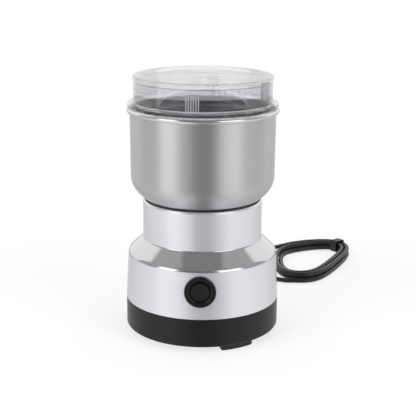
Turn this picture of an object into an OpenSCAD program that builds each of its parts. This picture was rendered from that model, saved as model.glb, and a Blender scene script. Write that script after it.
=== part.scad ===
// Electric grinder with a stainless bowl, a clear lift-off lid and a push button.
// Millimetres. The drive shaft is the Z axis, the table is z = 0 and the button faces -Y.

/* [Base and feet] */
// Height that the rubber feet hold the base off the table
foot_h = 4; // [3:0.5:6]
// Distance from the base cover's side to the middle of a foot
foot_inset = 6.8; // [6.6:0.1:8]
// Radial width of a foot
foot_w = 9.4; // [8:0.2:10]
// Arc that one foot spans, in degrees
foot_arc = 26; // [20:1:32]
// Height of the black base cover
base_h = 19.2; // [17.2:0.5:21.7]
// Wall and floor of the base cover
base_wall = 2.2; // [1.8:0.1:2.6]
// Number of air slots in the base's floor
vent_count = 20; // [12:1:24]
// Width of an air slot
vent_w = 2.4; // [1.6:0.1:3]

/* [Housing] */
// Radius of the housing where it meets the base cover
body_r = 52.6; // [52:0.1:55]
// How far the housing's lower wall leans in up to its shoulder
wall_draft = 1.6; // [0.8:0.1:2]
// Height of the housing's lower wall
wall_h = 33; // [32.8:0.2:38]
// Height of the rounded shoulder
shoulder_h = 10; // [9.6:0.2:13]
// Distance from the body's side to the neck's
neck_inset = 11.9; // [10.5:0.1:12.6]
// Height of the neck
neck_h = 26.3; // [25.5:0.1:30]
// Wall of the housing and of its top deck
housing_wall = 2; // [1.6:0.1:2.6]

/* [Button] */
// Outer diameter of the button's bezel
bezel_d = 21; // [20:0.1:23]
// Diameter of the push button
button_d = 12.6; // [11:0.1:13.4]
// Travel of the push button
button_travel = 3; // [2:0.1:3.6]
// Height of the button's centre above the base cover
button_rise = 19; // [15:0.1:20]

/* [Bowl] */
// Outer radius of the bowl under its rim
bowl_r = 49.1; // [48.6:0.1:49.6]
// How far the bowl's side leans in from its rim to its curved bottom
bowl_draft = 0.3; // [0.1:0.05:0.8]
// Height of the bowl
bowl_h = 61.6; // [59:0.2:70]
// Sheet thickness of the bowl
bowl_wall = 0.8; // [0.6:0.1:1.2]
// Radius of the bead that the bowl's rim is rolled into
rim_bead_r = 1.9; // [1.6:0.1:2.1]
// Thickness of the black gasket under the bowl
gasket_h = 1.3; // [1:0.1:2]

/* [Lid] */
// Distance from the bowl's side in to the lid's wall
lid_inset = 2.3; // [2:0.1:3]
// Height of the lid above the bowl's rim
lid_h = 21.2; // [18:0.1:26]
// Wall of the lid
lid_wall = 1.8; // [1.4:0.1:2.2]
// Distance from the outer edge of the rim's bead in to the edge of the lid's flange
flange_inset = 0.6; // [0.2:0.1:1]
// Depth that the lid's skirt reaches into the bowl
skirt_h = 7.5; // [5:0.5:10]

/* [Blade] */
// Distance from a blade tip to the bowl's side
blade_gap = 12.6; // [11.8:0.2:17]
// Thickness of a blade
blade_t = 1.4; // [1:0.1:1.8]
// Upward bend of the long pair of wings, in degrees
wing_up = 18; // [10:1:22]
// Downward bend of the short pair of wings, in degrees
wing_down = 9; // [4:1:10]

/* [Motor] */
// Radius of the drive shaft
shaft_r = 3; // [2.6:0.1:3.4]
// Radius of the armature
armature_r = 15; // [14:0.1:16]
// Height of the stator's and armature's steel stacks
stack_h = 22; // [20:0.5:23]
// Radius of the cooling fan
fan_r = 27; // [22:0.5:29]
// Number of blades on the cooling fan
fan_blades = 9; // [6:1:12]

/* [Cord] */
// Diameter of the power cord
cord_d = 3.6; // [3.2:0.1:4]
// Number of times that the spare cord goes round its hank
hank_turns = 3.63; // [2.63:1:3.63]
// Spacing of neighbouring turns at the tie
turn_step_tie = 4.5; // [4.4:0.1:4.8]
// Spacing of neighbouring turns away from the tie
turn_step_far = 4.7; // [4.5:0.1:5]

/* [Hidden] */
$fn = 64;

// Clearances
// Between pieces of one body that fit in each other
fit_gap = 0.05;
// Between a turning shaft and its bore, on the radius
run_gap = 0.04;
// Between pieces of different bodies
body_gap = 0.3;
// Between the armature and the stator
air_gap = 0.6;
// How far a cutting shape runs past the face that it cuts
past = 1;

// Radii that follow the body and the bowl
shoulder_r = body_r - wall_draft;
neck_r = body_r - neck_inset;
foot_ring_r = body_r - foot_inset;
bead_shift = 0.3;
bead_out_r = bowl_r + bead_shift + rim_bead_r;
bowl_low_r = bowl_r - bowl_draft;
lid_r = bowl_r - lid_inset;
flange_r = bead_out_r - flange_inset;
skirt_r = bowl_r - bowl_wall - body_gap - 0.2;
gasket_in_r = neck_r - 11.2;
blade_r = bowl_r - blade_gap;

// Heights from the table up
base_z = foot_h;
split_z = base_z + base_h;
shoulder_z = split_z + wall_h;
neck_z = shoulder_z + shoulder_h;
deck_z = neck_z + neck_h;
bowl_z = deck_z + gasket_h;
rim_z = bowl_z + bowl_h;
lid_z = rim_z + 0.15;
lid_top_z = rim_z + lid_h;
base_floor_z = base_z + base_wall;
button_z = split_z + button_rise;

// Motor heights, hung from the underside of the deck
deck_under_z = deck_z - housing_wall;
bush_nut_h = 2.6;
bush_bottom_z = deck_under_z - bush_nut_h;
mount_boss_h = 6;
damper_h = 3;
plate_t = 2.5;
plate_top_z = deck_under_z - mount_boss_h - damper_h;
plate_z = plate_top_z - plate_t;
bearing_h = 5;
bearing_r = 8;
hub_r = 10.5;
hub_top_z = plate_top_z + 4;
upper_leg_h = 12;
stack_top_z = plate_z - upper_leg_h;
stack_z = stack_top_z - stack_h;
lower_leg_h = 21;
lower_plate_top_z = stack_z - lower_leg_h;
lower_plate_t = 3;
lower_plate_z = lower_plate_top_z - lower_plate_t;
lower_hub_z = lower_plate_z - 2;
fan_h = 8;
fan_top_z = lower_hub_z - 2;
fan_z = fan_top_z - fan_h;
shaft_bottom_z = fan_z - 0.8;
commutator_r = 9;
commutator_h = 9;
commutator_z = lower_plate_top_z + 4.5;
winding_r = 12.8;
winding_h = 6;
leg_ring_r = 20;
leg_r = 4;
bolt_r = 2;
bolt_head_r = 3.6;
bolt_head_h = 2;
bolt_rest = 3;

// Motor mounts, screws and housing posts
mount_ring_r = neck_r - housing_wall - 9.2;
mount_boss_r = 4;
mount_screw_r = 1.75;
mount_angles = [60, 180, 300];
post_ring_r = body_r - 8.6;
post_r = 3.6;
post_h = 26;
post_top_z = split_z + post_h;
post_angles = [0, 120, 240];
base_screw_r = 1.5;
base_screw_sink = 5;
base_screw_grip = 10;
spigot_h = 3.5;
spigot_t = 1.8;

// Bushing that carries the bowl's middle
bush_r = 6.5;
bush_flange_r = 10;
bush_flange_h = 2.3;
bush_top_h = 3;
seal_r = 5.6;
seal_h = 2.2;
bush_top_z = bowl_z + bowl_wall + bush_flange_h + bush_top_h;

// Blade stack on the shaft
blade_w = 11;
spacer_h = 3.5;
spacer_z = bush_top_z + 0.5;
blade_z = spacer_z + spacer_h;
washer_h = 1;
nut_z = blade_z + 2 * blade_t + washer_h;
nut_h = 4;
shaft_top_z = nut_z + nut_h - 0.5;

// Shape of the bowl's bottom: a first arc under the wall, then a wider one, then a flat floor
corner_r = 20;
corner_turn = 35;
under_r = 1.5 * corner_r;
corner_z = bowl_z + 0.905 * corner_r;
floor_edge_r = 1.2;

// Button stack along Y
housing_y = -(body_r + (shoulder_r - body_r) * button_rise / wall_h);
bezel_proud = 2;
bezel_y = housing_y - bezel_proud;
bezel_hole_r = button_d / 2 + 0.6;
cap_face_y = bezel_y + 0.7;
thread_r = 8.6;
switch_r = 8;
switch_face_y = housing_y + housing_wall + 3;
switch_back_y = switch_face_y + 14;
lock_nut_t = 2.4;
spring_wire = 0.5;
cap_flange_r = thread_r - 1.1;
cap_flange_t = 1.2;
cap_back_y = switch_face_y - button_travel - body_gap;
lip_y = cap_back_y - cap_flange_t - body_gap;
sleeve_y = switch_face_y + 2;

// Feet
foot_angles = [60, 180, 300];
foot_stud_r = 2;

// Cord exit and strain relief at the back
exit_z = base_z + 9;
relief_r = 5;
relief_tip_r = 3;
relief_len = 25;
relief_neck_r = 3.8;
relief_y = body_r + 0.03;
relief_end_y = relief_y + relief_len;
saddle_w = 19;
saddle_y = body_r - base_wall - 12;
saddle_top_z = exit_z + 1;
clamp_y0 = saddle_y + 1;
clamp_y1 = clamp_y0 + 6;
clamp_mid_y = (clamp_y0 + clamp_y1) / 2;
clamp_h = 5;
clamp_screw_x = 6.8;
clamp_screw_r = 1.2;

// Route of the cord from the strain relief to the hank, then from the hank to the plug
cord_r = cord_d / 2;
cord_in = [
    [0, relief_end_y + cord_d, exit_z],
    [0, relief_end_y + 2 * cord_d, exit_z - 0.3],
    [0.6, 90, 11.6],
    [2.4, 96, 9.4],
    [6, 102.5, 6.2],
    [12, 107.5, 3.4],
    [20, 110, cord_r],
    [29, 109.2, cord_r],
    [38, 105, cord_r],
    [46, 99, cord_r],
    [54.5, 93, cord_r],
    [63, 89.2, cord_r]
];
cord_out = [[56.7, 160.6, 6.3]];

// Hank: turns round three soft corners, so that no bend is tighter than the smallest turn
hank_corners = [[77.5, 110], [75.5, 151], [102.5, 161.5]];
corner_blend = 0.08;
hank_r = 23.5;
tie_angle = 45;
hank_start = -95;
hank_rings = 24;
layer_gap = 0.5;
climb_turns = 0.5;
tie_t = 0.8;
tie_w = 6;
tie_clear = 0.2;

// Plug: a flat body with two round pins
plug_w = 35;
plug_h = 13.6;
plug_len = 36;
plug_neck_w = 12;
plug_sleeve_len = 14;
pin_d = 4;
pin_len = 19;
pin_pitch = 19;
plug_z = plug_h / 2 + 0.01;
plug_at = [32.5, 159.2, plug_z];
plug_turn = -90;
plug_dir = [sin(plug_turn), -cos(plug_turn), 0];

steel = "#c4c6c8";
silver = "#d9dade";
black = "#26262a";
rubber_black = "#1c1c1e";
clear = [0.86, 0.90, 0.93, 0.35];
copper = "#b8693a";
brass = "#c9a54a";
iron = "#7d8084";
white_plastic = "#e4e2da";

// Helpers

function unit(v) = v / norm(v);

// Points of an arc round centre c, from angle a0 to a1
function arc(c, r, a0, a1, steps = 8) =
    [for (i = [0:steps]) let (a = a0 + (a1 - a0) * i / steps) c + r * [cos(a), sin(a)]];

// Cubic through p0 and p1 that leaves along angle a0 and arrives along angle a1
function bend(p0, p1, a0, a1, steps = 16) =
    let (l = norm(p1 - p0), d0 = l * [cos(a0), sin(a0)], d1 = l * [cos(a1), sin(a1)])
    [for (i = [0:steps]) let (t = i / steps)
        (2 * pow(t, 3) - 3 * t * t + 1) * p0 + (pow(t, 3) - 2 * t * t + t) * d0
        + (3 * t * t - 2 * pow(t, 3)) * p1 + (pow(t, 3) - t * t) * d1];

// Smooth curve through all of pts, with extra points between each two
function smooth(pts, steps = 2) =
    let (n = len(pts))
    [for (i = [0:n - 2], k = [0:steps - 1])
        let (
            t = k / steps,
            a = pts[max(i - 1, 0)], b = pts[i], c = pts[i + 1], d = pts[min(i + 2, n - 1)]
        )
        0.5 * (2 * b + (c - a) * t + (2 * a - 5 * b + 4 * c - d) * t * t
            + (3 * b - a - 3 * c + d) * pow(t, 3)),
        pts[n - 1]];

// Round tube along a path, one ring a point; up must never lie along the path
module tube(path, r, sides = 8, up = [0, 0, 1]) {
    n = len(path);
    points = [
        for (i = [0:n - 1])
            let (
                t = unit(path[min(i + 1, n - 1)] - path[max(i - 1, 0)]),
                s = unit(cross(t, up)),
                v = cross(s, t)
            )
            for (k = [0:sides - 1])
                let (a = 360 * (k + 0.5) / sides)
                path[i] + r * (cos(a) * s + sin(a) * v)
    ];
    start_cap = [for (k = [1:sides - 2]) [0, k, k + 1]];
    end_cap = [for (k = [1:sides - 2]) (n - 1) * sides * [1, 1, 1] + [0, k + 1, k]];
    sides_a = [for (i = [0:n - 2], k = [0:sides - 1])
        [i * sides + k, (i + 1) * sides + k, i * sides + (k + 1) % sides]];
    sides_b = [for (i = [0:n - 2], k = [0:sides - 1])
        [i * sides + (k + 1) % sides, (i + 1) * sides + k, (i + 1) * sides + (k + 1) % sides]];
    polyhedron(points, concat(start_cap, end_cap, sides_a, sides_b), convexity = 10);
}

module ring(r_out, r_in, h) {
    difference() {
        cylinder(r = r_out, h = h);
        translate([0, 0, -past]) cylinder(r = r_in, h = h + 2 * past);
    }
}

module around(angles) {
    for (a = angles) rotate([0, 0, a]) children();
}

// Cylinder that runs along +Y from y0 to y1
module y_cylinder(r, y0, y1) {
    translate([0, y0, 0]) rotate([-90, 0, 0]) cylinder(r = r, h = y1 - y0);
}

// Profiles of the outer shells, as radius and height

// Outside of the housing, from its lower edge to the edge of the deck
function housing_side() = concat(
    [[body_r, split_z]],
    bend([shoulder_r, shoulder_z], [neck_r + 1.2, neck_z - 0.5], 96, 160),
    arc([neck_r + 1.5, neck_z + 1.1], 1.5, 250, 180, 6),
    arc([neck_r - 1.5, deck_z - 1.5], 1.5, 0, 90, 6)
);

// Inside of the housing, from its lower edge to the underside of the deck
function housing_hollow() = concat(
    [[body_r - housing_wall, split_z - past], [body_r - housing_wall, split_z]],
    bend([shoulder_r - housing_wall, shoulder_z - 0.4],
        [neck_r + 0.6, neck_z - 0.3 - housing_wall], 96, 160),
    [[neck_r - housing_wall, neck_z - 1.2]],
    [[neck_r - housing_wall, deck_under_z], [0, deck_under_z], [0, split_z - past]]
);

corner_c = [bowl_low_r - corner_r, corner_z];
under_c = corner_c + (corner_r - under_r) * [cos(corner_turn), -sin(corner_turn)];
floor_z = bowl_z + floor_edge_r;
bead_c = [bowl_r + bead_shift, rim_z - rim_bead_r];
under_turn = asin((under_c[1] - floor_z) / under_r);

// Outside of the bowl moved in by t, from the middle of the floor to the rim
function bowl_side(t) = concat(
    [[0, bowl_z + t], [under_c[0] + (under_r - t) * cos(under_turn) - floor_edge_r, bowl_z + t]],
    arc(under_c, under_r - t, -under_turn, -corner_turn, 8),
    arc(corner_c, corner_r - t, -corner_turn, 0, 12),
    [[bowl_r - t, bead_c[1]]]
);

// Base and feet

module base_cover() {
    edge = 3.6;
    inner_r = body_r - base_wall;
    slot_r0 = 14;
    slot_r1 = 34;
    spigot_r = body_r - housing_wall - fit_gap;
    spigot_top_r = spigot_r - wall_draft * (spigot_h + 1) / wall_h;
    floor_round = 2;
    color(black) difference() {
        union() {
            rotate_extrude() polygon(concat(
                [[0, base_z], [body_r - 1.9, base_z]],
                bend([body_r - 1.9, base_z], [body_r, base_z + edge], 20, 88, 6),
                [[body_r, split_z], [spigot_r, split_z], [spigot_top_r, split_z + spigot_h]],
                [[spigot_r - spigot_t, split_z + spigot_h], [spigot_r - spigot_t, split_z - 1]],
                [[inner_r, split_z - 3], [inner_r, base_floor_z + floor_round]],
                arc([inner_r - floor_round, base_floor_z + floor_round], floor_round, 0, -90, 6),
                [[0, base_floor_z]]
            ));
            around(post_angles) translate([post_ring_r, 0, base_z])
                cylinder(r = post_r + 0.6, h = base_h);
            // Saddle that the cord's sleeve lies in, inside its hole
            translate([-saddle_w / 2, saddle_y, base_z])
                cube([saddle_w, inner_r + 0.6 - saddle_y, saddle_top_z - base_z]);
        }
        for (i = [0:vent_count - 1]) rotate([0, 0, 360 * (i + 0.5) / vent_count]) {
            translate([slot_r0, -vent_w / 2, base_z - past])
                cube([slot_r1 - slot_r0, vent_w, base_wall + 2 * past]);
            translate([slot_r0, 0, base_z - past]) cylinder(d = vent_w, h = base_wall + 2 * past);
            translate([slot_r1, 0, base_z - past]) cylinder(d = vent_w, h = base_wall + 2 * past);
        }
        around(post_angles) translate([post_ring_r, 0, 0]) {
            translate([0, 0, base_z - past]) cylinder(r = 3.4, h = base_screw_sink + past);
            translate([0, 0, base_z]) cylinder(r = base_screw_r + fit_gap, h = base_h + past);
        }
        around(foot_angles) translate([foot_ring_r, 0, base_z - past])
            cylinder(r = foot_stud_r + fit_gap, h = base_wall + 2 * past);
        translate([0, 0, exit_z]) y_cylinder(relief_neck_r + fit_gap, saddle_y - past, body_r + past);
        translate([-relief_neck_r + 0.3, saddle_y - past, exit_z])
            cube([2 * relief_neck_r - 0.6, clamp_y1 - saddle_y + past, 8]);
        for (x = [-clamp_screw_x, clamp_screw_x]) translate([x, clamp_mid_y, saddle_top_z - 6])
            cylinder(r = clamp_screw_r + fit_gap, h = 8);
    }
}

// One pad: a piece of ring with a headed stud that is pushed through the floor
module foot() {
    edge = 0.8;
    head_z = foot_h + base_wall + fit_gap;
    rotate([0, 0, -foot_arc / 2]) rotate_extrude(angle = foot_arc)
        translate([foot_ring_r, 0]) polygon([
            [-foot_w / 2 + edge, 0], [foot_w / 2 - edge, 0], [foot_w / 2, edge],
            [foot_w / 2, foot_h], [-foot_w / 2, foot_h], [-foot_w / 2, edge]
        ]);
    translate([foot_ring_r, 0, 1]) cylinder(r = foot_stud_r, h = head_z + 0.6);
    translate([foot_ring_r, 0, head_z]) cylinder(r1 = foot_stud_r + 0.6, r2 = foot_stud_r - 0.5, h = 1.8);
}

module feet() {
    color(rubber_black) around(foot_angles) foot();
}

module pan_head_screw(head_r, head_h, r, len) {
    difference() {
        union() {
            cylinder(r = head_r, h = head_h);
            cylinder(r = r, h = head_h + len);
        }
        for (a = [0, 90]) rotate([0, 0, a]) translate([-head_r * 0.55, -0.4, -past])
            cube([head_r * 1.1, 0.8, past + head_h * 0.5]);
    }
}

module base_screws() {
    head_h = 2;
    len = base_h - base_screw_sink + base_screw_grip;
    color("#9a9da1") around(post_angles) translate([post_ring_r, 0, base_z + base_screw_sink - head_h])
        pan_head_screw(3.1, head_h, base_screw_r, len);
}

// Housing

module upper_housing() {
    post_gap = 0.4;
    rib_t = 2;
    hole_r = thread_r + fit_gap;
    color(silver) difference() {
        union() {
            difference() {
                rotate_extrude() polygon(concat([[0, split_z]], housing_side(), [[0, deck_z]]));
                rotate_extrude() polygon(housing_hollow());
            }
            around(post_angles) {
                translate([post_ring_r, 0, split_z + post_gap]) cylinder(r = post_r, h = post_top_z - split_z);
                translate([post_ring_r, -rib_t / 2, split_z + spigot_h + post_gap])
                    cube([shoulder_r - housing_wall / 2 - post_ring_r, rib_t, post_top_z - split_z - spigot_h]);
            }
            around(mount_angles) translate([mount_ring_r, 0, deck_under_z - mount_boss_h])
                cylinder(r = mount_boss_r, h = mount_boss_h + housing_wall / 2);
        }
        around(post_angles) translate([post_ring_r, 0, split_z])
            cylinder(r = base_screw_r + fit_gap, h = base_screw_grip + 4);
        around(mount_angles) translate([mount_ring_r, 0, deck_under_z - mount_boss_h - past])
            cylinder(r = mount_screw_r + fit_gap, h = mount_boss_h + past);
        translate([0, 0, deck_under_z - past]) cylinder(r = bush_r + fit_gap, h = housing_wall + 2 * past);
        translate([0, 0, button_z]) y_cylinder(hole_r, housing_y - 3, housing_y + 8);
        // Flat seat for the switch's lock nut on the inside
        translate([0, 0, button_z]) y_cylinder(thread_r + 2.6, housing_y + housing_wall, housing_y + 10);
    }
}

module bowl_gasket() {
    color(black) translate([0, 0, deck_z]) ring(neck_r - 0.9, gasket_in_r, gasket_h);
}

// Bowl

module bowl() {
    outside = bowl_side(0);
    inside = bowl_side(bowl_wall);
    last = len(outside) - 1;
    bead_in = acos((bowl_r - bowl_wall - bead_c[0]) / rim_bead_r);
    bead_out = -acos((bowl_r - bead_c[0]) / rim_bead_r);
    color(steel) difference() {
        rotate_extrude() polygon(concat(
            [for (i = [0:last - 1]) outside[i]],
            arc(bead_c, rim_bead_r, bead_out, bead_in, 20),
            [for (i = [last - 1:-1:0]) inside[i]]
        ));
        translate([0, 0, bowl_z - past]) cylinder(r = bush_r + fit_gap, h = 2 * past + bowl_wall);
    }
}

module bowl_bushing() {
    floor_in_z = bowl_z + bowl_wall;
    color(black) difference() {
        union() {
            translate([0, 0, bush_bottom_z]) cylinder(r = bush_r, h = bush_top_z - bush_bottom_z);
            translate([0, 0, floor_in_z]) rotate_extrude() polygon(concat(
                [[0, 0], [bush_flange_r, 0]],
                arc([bush_flange_r - 0.8, bush_flange_h - 0.8], 0.8, 0, 90, 5),
                [[bush_r + 1.2, bush_flange_h], [bush_r + 0.6, bush_flange_h + bush_top_h]],
                [[0, bush_flange_h + bush_top_h]]
            ));
        }
        translate([0, 0, bush_bottom_z - past])
            cylinder(r = shaft_r + run_gap, h = bush_top_z - bush_bottom_z + 2 * past);
        translate([0, 0, bush_top_z - seal_h]) cylinder(r = seal_r + fit_gap, h = seal_h + past);
    }
}

module bushing_nut() {
    color(iron) translate([0, 0, bush_bottom_z]) difference() {
        cylinder(r = 11.5, h = bush_nut_h, $fn = 6);
        translate([0, 0, -past]) cylinder(r = bush_r + fit_gap, h = bush_nut_h + 2 * past);
    }
}

module shaft_seal() {
    color(rubber_black) translate([0, 0, bush_top_z - seal_h]) difference() {
        cylinder(r = seal_r, h = seal_h);
        translate([0, 0, -past]) cylinder(r = shaft_r + run_gap, h = seal_h + 2 * past);
        // Groove behind the lip
        translate([0, 0, seal_h - 0.9]) ring(seal_r - 0.8, shaft_r + 0.8, past);
    }
}

// Lid

// One patch of fine upright ribs that gives grip, standing out of the wall
module grip_ribs(count, pitch, z0, z1) {
    step = pitch / lid_r * 180 / PI;
    for (i = [0:count - 1]) rotate([0, 0, (i - (count - 1) / 2) * step])
        translate([lid_r - 0.15, 0, z0]) cylinder(r = 0.5, h = z1 - z0, $fn = 24);
}

module lid() {
    flange_h = 3;
    bead_h = 3.6;
    in_r = lid_r - lid_wall;
    flange_top_z = lid_z + flange_h;
    bead_z = lid_top_z - bead_h;
    top_t = 2;
    disc_r = 12;
    rib_top_z = bead_z;
    rib_angle = -97;
    pad_w = 6;
    color(clear) union() {
        rotate_extrude() polygon(concat(
            [[0, lid_top_z - 0.3], [disc_r, lid_top_z - 0.3], [disc_r + 0.3, lid_top_z]],
            arc([lid_r - 1.3, lid_top_z - 1.5], 1.5, 90, 0, 6),
            [[lid_r + 0.2, bead_z + 0.2], [lid_r - 0.05, bead_z]],
            arc([lid_r + 1.8, flange_top_z + 1.5], 1.5, 180, 270, 6),
            arc([flange_r - 1, flange_top_z - 1], 1, 90, 0, 5),
            [[flange_r, lid_z], [skirt_r, lid_z], [skirt_r - 0.3, rim_z - skirt_h + 0.6]],
            [[skirt_r - 0.9, rim_z - skirt_h], [in_r + 0.3, rim_z - skirt_h], [in_r, flange_top_z]],
            [[in_r, lid_top_z - top_t - 1], [in_r - 1, lid_top_z - top_t], [0, lid_top_z - top_t]]
        ));
        // Grip patches at the front and at the back
        for (a = [rib_angle, rib_angle + 180]) rotate([0, 0, a])
            grip_ribs(6, 1.6, flange_top_z - 0.5, rib_top_z);
        // Upright pad on the right
        rotate([0, 0, -30 - pad_w]) rotate_extrude(angle = 2 * pad_w)
            translate([lid_r - 0.5, flange_top_z - 0.5]) square([1.1, lid_top_z - flange_top_z - 1]);
    }
}

// Button and switch

// The bezel's flange follows the housing, and its threaded sleeve passes through the wall
module button_bezel() {
    r = bezel_d / 2;
    chamfer = 1.3;
    body = bezel_proud + 3;
    color(black) translate([0, 0, button_z]) difference() {
        union() {
            difference() {
                translate([0, bezel_y, 0]) rotate([-90, 0, 0]) rotate_extrude() polygon(concat(
                    [[0, 0]],
                    arc([r - chamfer, chamfer], chamfer, -90, 0, 5),
                    [[r, body], [0, body]]
                ));
                translate([0, 0, -button_z]) housing_core(fit_gap);
            }
            y_cylinder(thread_r, bezel_y + bezel_proud / 2, sleeve_y);
        }
        y_cylinder(bezel_hole_r, bezel_y - past, sleeve_y);
        y_cylinder(cap_flange_r + body_gap, lip_y, sleeve_y + past);
        // Dished mouth round the button
        translate([0, bezel_y - 0.01, 0]) rotate([-90, 0, 0])
            cylinder(r1 = bezel_hole_r + 1.4, r2 = bezel_hole_r, h = 1.2);
    }
}

// Solid inside the housing's outer face, grown by a clearance
module housing_core(grow) {
    translate([0, 0, split_z]) cylinder(r1 = body_r + grow, r2 = shoulder_r + grow, h = wall_h, $fn = 360);
}

// Hollow black cap with a dished face and a collar that keeps it in the switch's collar
module button_cap() {
    r = button_d / 2;
    len = cap_back_y - cap_face_y;
    dish_r = 30;
    color(black) translate([0, cap_face_y, button_z]) rotate([-90, 0, 0]) difference() {
        union() {
            rotate_extrude() polygon(concat(
                [[0, 0], [r - 0.9, 0]],
                arc([r - 0.9, 0.9], 0.9, -90, 0, 5),
                [[r, len], [0, len]]
            ));
            translate([0, 0, len - cap_flange_t]) cylinder(r = cap_flange_r, h = cap_flange_t);
        }
        translate([0, 0, -dish_r + 0.5]) sphere(r = dish_r, $fn = 96);
        translate([0, 0, 2.4]) cylinder(r = r - 1.6, h = len);
    }
}

module button_spring() {
    turns = 5;
    coil_r = button_d / 2 - 2.3;
    y0 = cap_face_y + 2.4 + spring_wire / 2 + 0.15;
    y1 = switch_face_y - spring_wire / 2 - 0.15;
    steps = turns * 10;
    color(iron) tube([for (i = [0:steps])
        let (a = 360 * turns * i / steps)
        [coil_r * cos(a), y0 + (y1 - y0) * i / steps, button_z + coil_r * sin(a)]],
        spring_wire / 2, 6, [0, 1, 0]);
}

// Switch that plugs into the bezel's sleeve from behind
module switch_body() {
    case_y = sleeve_y + fit_gap;
    color(black) translate([0, 0, button_z]) union() {
        y_cylinder(cap_flange_r + body_gap - fit_gap, switch_face_y, case_y + 0.5);
        y_cylinder(thread_r, case_y, case_y + 2);
        translate([-7.5, case_y + 1, -5.5]) cube([15, switch_back_y - case_y - 1, 11]);
    }
}

module switch_nut() {
    y0 = housing_y + housing_wall + fit_gap;
    color(iron) translate([0, 0, button_z]) difference() {
        translate([0, y0, 0]) rotate([-90, 0, 0]) cylinder(r = thread_r + 2.3, h = lock_nut_t, $fn = 6);
        y_cylinder(thread_r + fit_gap, y0 - past, y0 + lock_nut_t + past);
    }
}

module switch_terminals() {
    color(brass) for (x = [-4, 4]) translate([x - 0.4, switch_back_y, button_z - 2.4]) difference() {
        cube([0.8, 5, 4.8]);
        translate([-past, 3.2, 2.4]) rotate([0, 90, 0]) cylinder(r = 0.8, h = 3);
    }
}

// Motor frame

module motor_dampers() {
    color(rubber_black) around(mount_angles) translate([mount_ring_r, 0, plate_top_z])
        ring(5, mount_screw_r + fit_gap, damper_h);
}

module motor_screws() {
    head_h = 2;
    color("#9a9da1") around(mount_angles) translate([mount_ring_r, 0, plate_z - head_h])
        pan_head_screw(3.4, head_h, mount_screw_r, plate_t + damper_h + mount_boss_h - 1);
}

// Cast spider with three ears for the dampers, two legs for the stator and a hub for the bearing
module upper_bracket() {
    color(iron) difference() {
        union() {
            translate([0, 0, plate_z]) linear_extrude(plate_t) union() {
                circle(r = leg_ring_r + leg_r + 0.6);
                around(mount_angles) {
                    translate([mount_ring_r, 0]) circle(r = 5.5);
                    translate([0, -5.5]) square([mount_ring_r, 11]);
                }
            }
            translate([0, 0, plate_z]) cylinder(r = hub_r, h = hub_top_z - plate_z);
            for (y = [-leg_ring_r, leg_ring_r]) translate([0, y, stack_top_z])
                cylinder(r = leg_r, h = upper_leg_h + plate_t / 2);
        }
        translate([0, 0, hub_top_z - bearing_h]) cylinder(r = bearing_r + fit_gap, h = bearing_h + past);
        translate([0, 0, plate_z - past]) cylinder(r = shaft_r + 1.5, h = hub_top_z - plate_z);
        around(mount_angles) translate([mount_ring_r, 0, plate_z - past])
            cylinder(r = mount_screw_r + fit_gap, h = plate_t + 2 * past);
        for (y = [-leg_ring_r, leg_ring_r]) translate([0, y, stack_top_z - past])
            cylinder(r = bolt_r + fit_gap, h = upper_leg_h + plate_t / 2);
        // Air windows between the hub and the rim
        for (a = [0:60:300]) rotate([0, 0, a]) translate([16.5, 0, plate_z - past])
            cylinder(r = 3.2, h = plate_t + 2 * past);
    }
}

module bearing() {
    race = 1.6;
    difference() {
        cylinder(r = bearing_r, h = bearing_h);
        translate([0, 0, -past]) cylinder(r = shaft_r + run_gap, h = bearing_h + 2 * past);
        // Shallow recess of the shield on both faces
        for (z = [-past, bearing_h - 0.3]) translate([0, 0, z])
            ring(bearing_r - race, shaft_r + race, 0.3 + past);
    }
}

module upper_bearing() {
    color("#b9bcc0") translate([0, 0, hub_top_z - bearing_h]) bearing();
}

module lower_bearing() {
    color("#b9bcc0") translate([0, 0, lower_hub_z + 1]) bearing();
}

// Two-pole stack: a frame with rounded corners, a bore for the armature and windows for the coils
module stator_core() {
    half_x = 27;
    half_y = 24;
    corner = 8;
    bore_r = armature_r + air_gap;
    color(iron) translate([0, 0, stack_z]) difference() {
        linear_extrude(stack_h) difference() {
            union() {
                square([2 * (half_x - corner), 2 * half_y], center = true);
                square([2 * half_x, 2 * (half_y - corner)], center = true);
                for (x = [-1, 1], y = [-1, 1]) translate([x * (half_x - corner), y * (half_y - corner)])
                    circle(r = corner);
            }
            for (x = [-1, 1], y = [-1, 1]) translate([x * coil_mid_x, y * coil_leg_y])
                square([coil_t + 2 * fit_gap, coil_leg_w + 2 * fit_gap], center = true);
            for (y = [-leg_ring_r, leg_ring_r]) translate([0, y]) circle(r = bolt_r + fit_gap);
        }
        translate([0, 0, -past]) cylinder(r = bore_r, h = stack_h + 2 * past);
    }
}

coil_t = 5;
coil_mid_x = armature_r + air_gap + 3.2;
coil_leg_w = 5;
coil_leg_y = 16;

// One field coil: a rounded loop round each pole
module field_coil() {
    end_h = 5;
    out_y = coil_leg_y + coil_leg_w / 2;
    in_y = coil_leg_y - coil_leg_w / 2;
    in_h = stack_h + 2 * body_gap;
    out_h = in_h + 2 * end_h;
    corner = 4;
    mid_z = stack_z + stack_h / 2;
    translate([coil_mid_x - coil_t / 2, 0, mid_z]) rotate([90, 0, 90]) linear_extrude(coil_t) difference() {
        union() {
            square([2 * (out_y - corner), out_h], center = true);
            square([2 * out_y, out_h - 2 * corner], center = true);
            for (y = [-1, 1], z = [-1, 1]) translate([y * (out_y - corner), z * (out_h / 2 - corner)])
                circle(r = corner);
        }
        square([2 * in_y, in_h], center = true);
    }
}

module field_coils() {
    color(copper) for (m = [0, 1]) mirror([m, 0, 0]) field_coil();
}

holder_in = 6;
holder_out = 9;
brush_z = commutator_z + commutator_h / 2;
brush_x = commutator_r + body_gap;
holder_x0 = commutator_r + 2;
holder_x1 = 30;

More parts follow.
